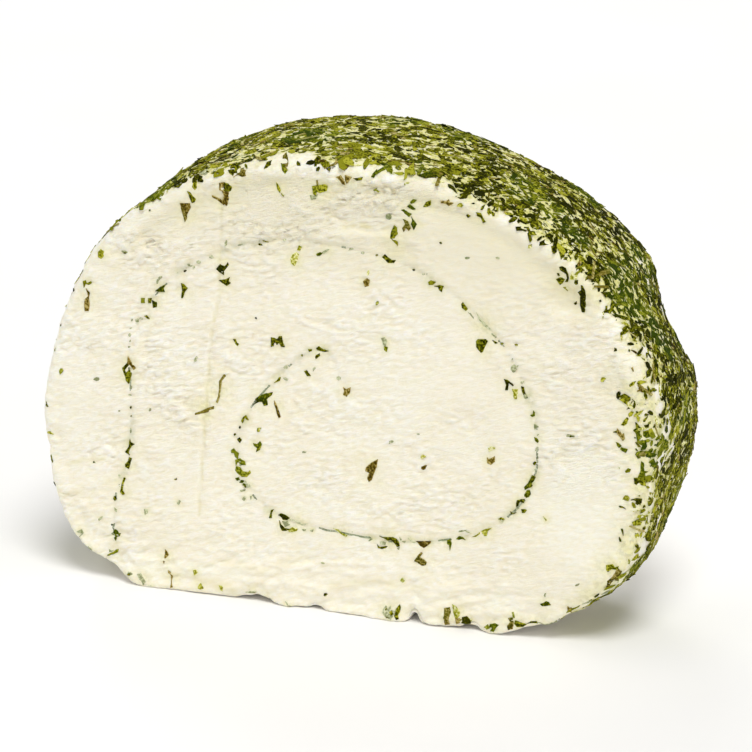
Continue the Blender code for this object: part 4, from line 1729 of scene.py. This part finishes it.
@dataclass
class CutFlecks:
    """The bits of herb that the knife left in both cuts, flush with the cheese."""

    cheese: CheeseBody
    mix: HerbMix
    seed: int = 23
    # The back cut's: their number and sizes, the share of each kind, and the share along the layer.
    back_count: int = 230
    back_mm: float = 1.2
    back_sizes: BitSizes = BitSizes(0.4, (0.4, 2.0), (0.4, 0.8), (0.1, 0.2))
    back_kinds: tuple[tuple[Herb, float], ...] = (
        (Herb.DARK, 0.4), (Herb.OLIVE, 0.25), (Herb.FRESH, 0.1), (Herb.BROWN, 0.13), (Herb.VEILED, 0.12),
    )
    along_layer: float = 0.55
    # How wide the lighter border of an outlined bit is: a painted highlight along its edge.
    highlight_border_mm: float = 0.14

    def build(self) -> None:
        """Adds the bits of the front cut by the picture, and those of the back cut at random."""
        random = np.random.default_rng(self.seed)
        for herb, rows in FLECKS.items():
            self.place_front(herb, np.array(rows), random)
        for herb, outlines in OUTLINES.items():
            for outline in outlines:
                self.lay_outline(herb, outline, random)
        self.scatter_back(random)

    def lay_outline(self, herb: Herb, pixels: Array, random: Random) -> None:
        """Lays a thin plate on the cheese that fills an outline of the picture.

        Args:
            herb: Its kind.
            pixels: The outline's columns and rows, one pair in each row.
            random: The source of its tone and its uneven top.
        """
        flat = pixels * (1, -1)
        following = np.roll(flat, -1, axis=0)
        if np.sum(flat[:, 0] * following[:, 1] - flat[:, 1] * following[:, 0]) < 0:
            flat = flat[::-1]
        top = np.array(tessellate_polygon([[Vector((column, row, 0.0)) for column, row in flat]]))
        first, second, third = (flat[top[:, corner]] for corner in range(3))
        one, other = second - first, third - first
        turned = one[:, 0] * other[:, 1] - one[:, 1] * other[:, 0] < 0
        top[turned] = top[turned][:, ::-1]
        seen = [self.cheese.seen_at(column, -row) for column, row in (*flat, *self.core(flat))]
        places, normals = split_seen(seen)
        facing = unit(normals.mean(axis=0))
        count = len(flat)
        near = np.arange(count)
        far = (near + 1) % count
        rise = np.concatenate((random.uniform(0.0, 0.07, count), random.uniform(0.06, 0.15, count)))
        raised = places + facing * rise[:, None] * MM
        sunk = places[:count] - facing * 0.12 * MM
        strips = ((near, far, far + count), (near, far + count, near + count))
        strips += ((near + 2 * count, far + 2 * count, far), (near + 2 * count, far, near))
        ring = np.concatenate([np.stack(strip, axis=1) for strip in strips])
        triangles = np.concatenate((top + count, top[:, ::-1] + 2 * count, ring))
        middle = random.normal(0.5, 0.18) - DEEPER.get(herb, 0.0)
        tone = middle + random.normal(0.0, 0.2, 3 * count)
        # Painted highlight: the bit's edge and its underside are lighter than its core.
        tone[near] += 0.45
        tone[near + 2 * count] += 0.3
        self.mix.add_shape(herb, np.concatenate((raised, sunk)), triangles, tone)

    def core(self, flat: Array) -> Array:
        """An outline's points moved inwards by the width of its lighter border, a painted highlight, or
        less where it is slim.

        Args:
            flat: The outline's points in pixels, running anticlockwise.

        Returns:
            The moved points.
        """
        along = unit(np.roll(flat, -1, axis=0) - np.roll(flat, 1, axis=0))
        inward = np.stack((-along[:, 1], along[:, 0]), axis=1)
        closed = np.concatenate((flat, flat[:1]))
        steps = np.full(len(flat), self.highlight_border_mm * PIXELS_PER_MM)
        for _ in range(4):
            clear, _, _ = near_line(flat + inward * steps[:, None], closed)
            steps[clear < 0.7 * steps] *= 0.6
        return flat + inward * steps[:, None]

    def place_front(self, herb: Herb, rows: Array, random: Random) -> None:
        """Lays bits on the cheese where the picture shows them, each torn into a few pieces.

        Args:
            herb: Their kind.
            rows: Their rows in FLECKS.
            random: The source of their tones, their thickness and the tearing.
        """
        pieces = 1 + (rows[:, 2] >= 1.0) + (rows[:, 2] >= 1.7)
        rows = np.repeat(rows, pieces, axis=0)
        first = np.diff(np.concatenate(([0], np.repeat(np.cumsum(pieces), pieces)))) != 0
        first[0] = True
        count = len(rows)
        torn = ~first if herb is not Herb.STEM else np.zeros(count, bool)
        scale = np.where(torn, random.uniform(0.45, 0.75, count), 1.0)
        turns = np.radians(rows[:, 4] + torn * random.normal(0, 30, count))
        along, across = torn * random.normal(0, 0.34, (2, count)) * rows[:, 2:4].T * PIXELS_PER_MM
        columns = rows[:, 0] + np.cos(turns) * along - np.sin(turns) * across
        lines = rows[:, 1] - np.sin(turns) * along - np.cos(turns) * across
        places, normals = split_seen(map(self.cheese.seen_at, columns, lines))
        rise = random.uniform(-0.03, 0.05, (count, 1)) * MM
        places += normals * rise
        right, top, _ = self.cheese.camera.axes()
        headings = np.cos(turns)[:, None] * np.array(right) + np.sin(turns)[:, None] * np.array(top)
        lengths, widths = rows[:, 2] * scale * 1.4, rows[:, 3] * scale * 1.5
        sizes = np.stack((lengths, widths, random.uniform(0.10, 0.18, count)), axis=1) * MM
        tones = np.clip(random.normal(0.4, 0.28, count), 0, 1)
        leaning = unit(normals + random.normal(0, 0.06, normals.shape))
        self.mix.add(herb, places, leaning, headings, sizes, tones)

    def scatter_back(self, random: Random) -> None:
        """Scatters bits over the back cut."""
        low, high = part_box("cheese_roll")
        path = self.cheese.section.swirl
        for herb, share in self.back_kinds:
            count = round(self.back_count * share)
            found = []
            while len(found) < count:
                start = Vector((random.uniform(low.x, high.x), high.y + MM, random.uniform(low.z, high.z)))
                if random.random() < self.along_layer:
                    flat = path[random.integers(len(path))] + random.normal(0.0, 0.35 * MM, 2)
                    start.x, start.z = flat
                place, normal, _, _ = self.cheese.tree.ray_cast(start, Vector((0.0, -1.0, 0.0)))
                if place is not None and normal.y > 0.9:
                    found.append((place, normal))
            places, normals = split_seen(found)
            sizes = self.back_sizes.draw(self.back_mm, 1.0, count, random)
            tones = np.clip(random.normal(0.4, 0.25, count), 0, 1)
            headings = random.normal(0.0, 1.0, (count, 3))
            self.mix.add(herb, places, normals, headings, sizes, tones)


# How much of the herb layer shows in the front cut along its path, as (part of the path, share).
SHOWING = (
    (0.0, 0.25), (0.03, 0.6), (0.10, 0.5), (0.16, 0.3), (0.22, 0.35), (0.28, 0.25), (0.34, 0.15),
    (0.40, 0.2), (0.46, 0.35), (0.50, 0.3), (0.56, 0.5), (0.62, 0.8), (0.66, 0.85), (0.70, 0.5),
    (0.76, 0.6), (0.80, 0.4), (0.86, 0.7), (0.91, 0.5), (0.93, 0.3), (1.0, 0.2),
)


@dataclass
class HerbLayer:
    """The thin layer of chopped herbs rolled up in the cheese, which shows as a broken line."""

    cheese: CheeseBody
    mix: HerbMix
    name: str = "herb_layer"
    seed: int = 29
    steps_along: int = 700
    steps_through: int = 8
    thickness: float = 0.30 * MM
    hidden: float = 0.30 * MM
    proud: float = 0.03 * MM
    crumbs: int = 460

    def build(self) -> bpy.types.Object:
        """Models the layer and strews its crumbs along both cuts."""
        path = self.cheese.section.swirl
        steps = np.linalg.norm(np.diff(path, axis=0), axis=1)
        along = np.concatenate(([0.0], np.cumsum(steps))) / steps.sum()
        piece = self.sheet(path, along)
        self.strew(path, along)
        return piece

    def cut_depths(self, flat: Array) -> tuple[Array, Array]:
        """The Y of the front and back surface of the cheese at flat points."""
        front, back = self.cheese.section.front - 2 * MM, self.cheese.section.back + 2 * MM
        ahead, behind = [], []
        for x, z in flat:
            near = self.cheese.tree.ray_cast(Vector((x, front, z)), Vector((0.0, 1.0, 0.0)))[0]
            far = self.cheese.tree.ray_cast(Vector((x, back, z)), Vector((0.0, -1.0, 0.0)))[0]
            ahead.append(near.y)
            behind.append(far.y)
        return np.array(ahead), np.array(behind)

    def sheet(self, path: Array, along: Array) -> bpy.types.Object:
        """Models the layer as one wavy wall that runs through the cheese.

        Args:
            path: X and Z of its path, one row each.
            along: How far along the path each row lies, from 0 to 1.

        Returns:
            The finished piece.
        """
        deselect_all()
        bpy.ops.mesh.primitive_grid_add(
            x_subdivisions=self.steps_along, y_subdivisions=self.steps_through, size=1.0
        )
        piece = bpy.context.object
        piece.name = self.name
        places = read_places(piece.data)
        part, through = places[:, 0] + 0.5, places[:, 1] + 0.5
        stations = np.linspace(0.0, 1.0, self.steps_along + 1)
        flat = np.stack([np.interp(stations, along, path[:, axis]) for axis in (0, 1)], axis=1)
        ahead, behind = self.cut_depths(flat)
        ways = unit(np.gradient(flat, axis=0))
        outward = np.stack((ways[:, 1], -ways[:, 0]), axis=1)
        index = np.clip(np.round(part * self.steps_along).astype(int), 0, self.steps_along)
        probe = np.stack((flat[index, 0], through * 20 * MM, flat[index, 1]), axis=1)
        wobble = 0.12 * MM * Noise(91).at(probe, (1.3, 3.0, 1.3))
        showing = np.interp(part, *zip(*SHOWING))
        gaps = 0.5 + Noise(92).at(probe, (1.7, 6.0, 1.7))
        sunk = np.where(gaps < 0.5 * (showing - 0.3), -self.proud, self.hidden)
        start = ahead[index] + sunk
        end = behind[index] - sunk
        moved = np.empty_like(places)
        moved[:, 0] = flat[index, 0] + outward[index, 0] * wobble
        moved[:, 1] = start + (end - start) * through
        moved[:, 2] = flat[index, 1] + outward[index, 1] * wobble
        write_places(piece.data, moved)
        apply_modifier(piece, "SOLIDIFY", thickness=self.thickness, offset=0.0)
        with editing(piece):
            bpy.ops.mesh.normals_make_consistent(inside=False)
        solid = read_places(piece.data)
        tone = 0.45 + 0.4 * Noise(93).at(solid, (0.8, 0.8, 0.8))
        write_attribute(piece.data, "tone", np.clip(tone, 0, 1))
        piece.data.materials.append(PRESSED_HERBS.make())
        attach(piece, "root")
        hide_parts("herb_swirl")
        return piece

    def strew(self, path: Array, along: Array) -> None:
        """Strews crumbs of herb along the layer, in the front and the back cut."""
        random = np.random.default_rng(self.seed)
        for facing in (-1.0, 1.0):
            part = random.random(self.crumbs)
            flat = np.stack([np.interp(part, along, path[:, axis]) for axis in (0, 1)], axis=1)
            depth = np.full((len(flat), 1), facing)
            clumps = Noise(94).at(np.concatenate((flat, depth), axis=1), (2.7, 2.7, 1.0))
            chance = np.interp(part, *zip(*SHOWING)) * smooth_step(0.35 + 3.0 * clumps)
            chance *= 0.5 if facing < 0 else 1.2
            flat = flat[random.random(self.crumbs) < chance]
            flat += random.normal(0.0, 0.26 * MM, flat.shape)
            count = len(flat)
            ahead, behind = self.cut_depths(flat)
            places = np.stack((flat[:, 0], ahead if facing < 0 else behind, flat[:, 1]), axis=1)
            normals = np.tile((0.0, facing, 0.0), (count, 1)) + random.normal(0, 0.15, (count, 3))
            lengths = 0.46 * MM * np.clip(random.lognormal(0.0, 0.5, count), 0.45, 2.4)
            sizes = np.stack((lengths, lengths * random.uniform(0.5, 0.9, count), lengths * 0.3), axis=1)
            tones = np.clip(random.normal(0.45, 0.3, count), 0, 1)
            headings = random.normal(0.0, 1.0, (count, 3))
            veiled = random.random(count) < 0.7
            for herb, mine in ((Herb.VEILED, veiled), (Herb.CRUMB, ~veiled)):
                rows = (places, normals, headings, sizes, tones)
                self.mix.add(herb, *(row[mine] for row in rows))


@dataclass(frozen=True)
class Studio:
    """A pale floor, a room that is brightest level with the floor, a large lamp and a weak one behind."""

    floor_size: float = 40.0
    # The light from the room and from its horizon, and the steepness between which it changes.
    room: float = 0.45
    horizon: float = 1.0
    low: float = 0.03
    high: float = 0.22
    lamp_size: float = math.radians(24)
    aim: Triple = (0.0, 0.0, 35 * MM)
    # Each lamp's name, power and place.
    lamps: tuple[tuple[str, float, Triple], ...] = (
        ("soft_lamp", 1.86, (0.72, -1.20, 2.70)),
        ("back_lamp", 0.45, (-1.10, 1.60, 1.70)),
    )

    def build(self) -> None:
        """Adds the floor, the lamps and the room's light."""
        deselect_all()
        bpy.ops.mesh.primitive_plane_add(size=self.floor_size, location=(0.0, 0.0, 0.0))
        floor = bpy.context.object
        floor.name = "floor"
        floor.data.materials.append(PaleFloor().make())
        floor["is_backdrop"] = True
        for name, power, place in self.lamps:
            turn = (Vector(self.aim) - Vector(place)).to_track_quat("-Z", "Y").to_euler()
            bpy.ops.object.light_add(type="SUN", location=place, rotation=turn)
            lamp = bpy.context.object
            lamp.name = name
            lamp.data.angle = self.lamp_size
            lamp.data.energy = power
        world = bpy.data.worlds.new("bright_room")
        world.use_nodes = True
        tree = world.node_tree
        way = add_node(tree, "TexCoord", "Generated", {})
        height = add_node(tree, "SeparateXYZ", "Z", {"Vector": way})
        heights = {"Value": height, "From Min": self.low, "From Max": self.high}
        levels = {"To Min": self.horizon, "To Max": self.room}
        fading = add_node(tree, "MapRange", "Result", heights | levels)
        tree.nodes["Background"].inputs["Color"].default_value = (1.0, 1.0, 1.0, 1.0)
        tree.links.new(fading, tree.nodes["Background"].inputs["Strength"])
        bpy.context.scene.world = world
        bpy.context.scene.view_settings.view_transform = "Standard"


def corners(box: Sequence[Vector]) -> list[list[float]]:
    """A box as plain lists of numbers."""
    return [[float(value) for value in corner] for corner in box]


def report(name: str, piece: bpy.types.Object) -> None:
    """Logs a finished piece and its number of triangles."""
    count = sum(len(polygon.vertices) - 2 for polygon in piece.data.polygons)
    log.info("%s: %s with %d triangles", name, piece.name, count)


def main() -> None:
    """Builds the cheese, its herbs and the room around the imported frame."""
    logging.basicConfig(level=logging.INFO, format="%(message)s")
    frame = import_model()
    cad_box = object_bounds()
    camera = PhotoCamera()
    camera.build()
    Studio().build()
    section = Section.read()
    cheese = CheeseBody(section, camera)
    report("cheese", cheese.build(frame["nodes"]))
    mix = HerbMix()
    report("layer", HerbLayer(cheese, mix).build())
    HerbCoat(cheese, mix).build()
    CutFlecks(cheese, mix).build()
    for piece in mix.build():
        report("herbs", piece)
    sizes = {"cad": corners(cad_box), "visual": corners(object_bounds())}


if __name__ == "__main__":
    main()
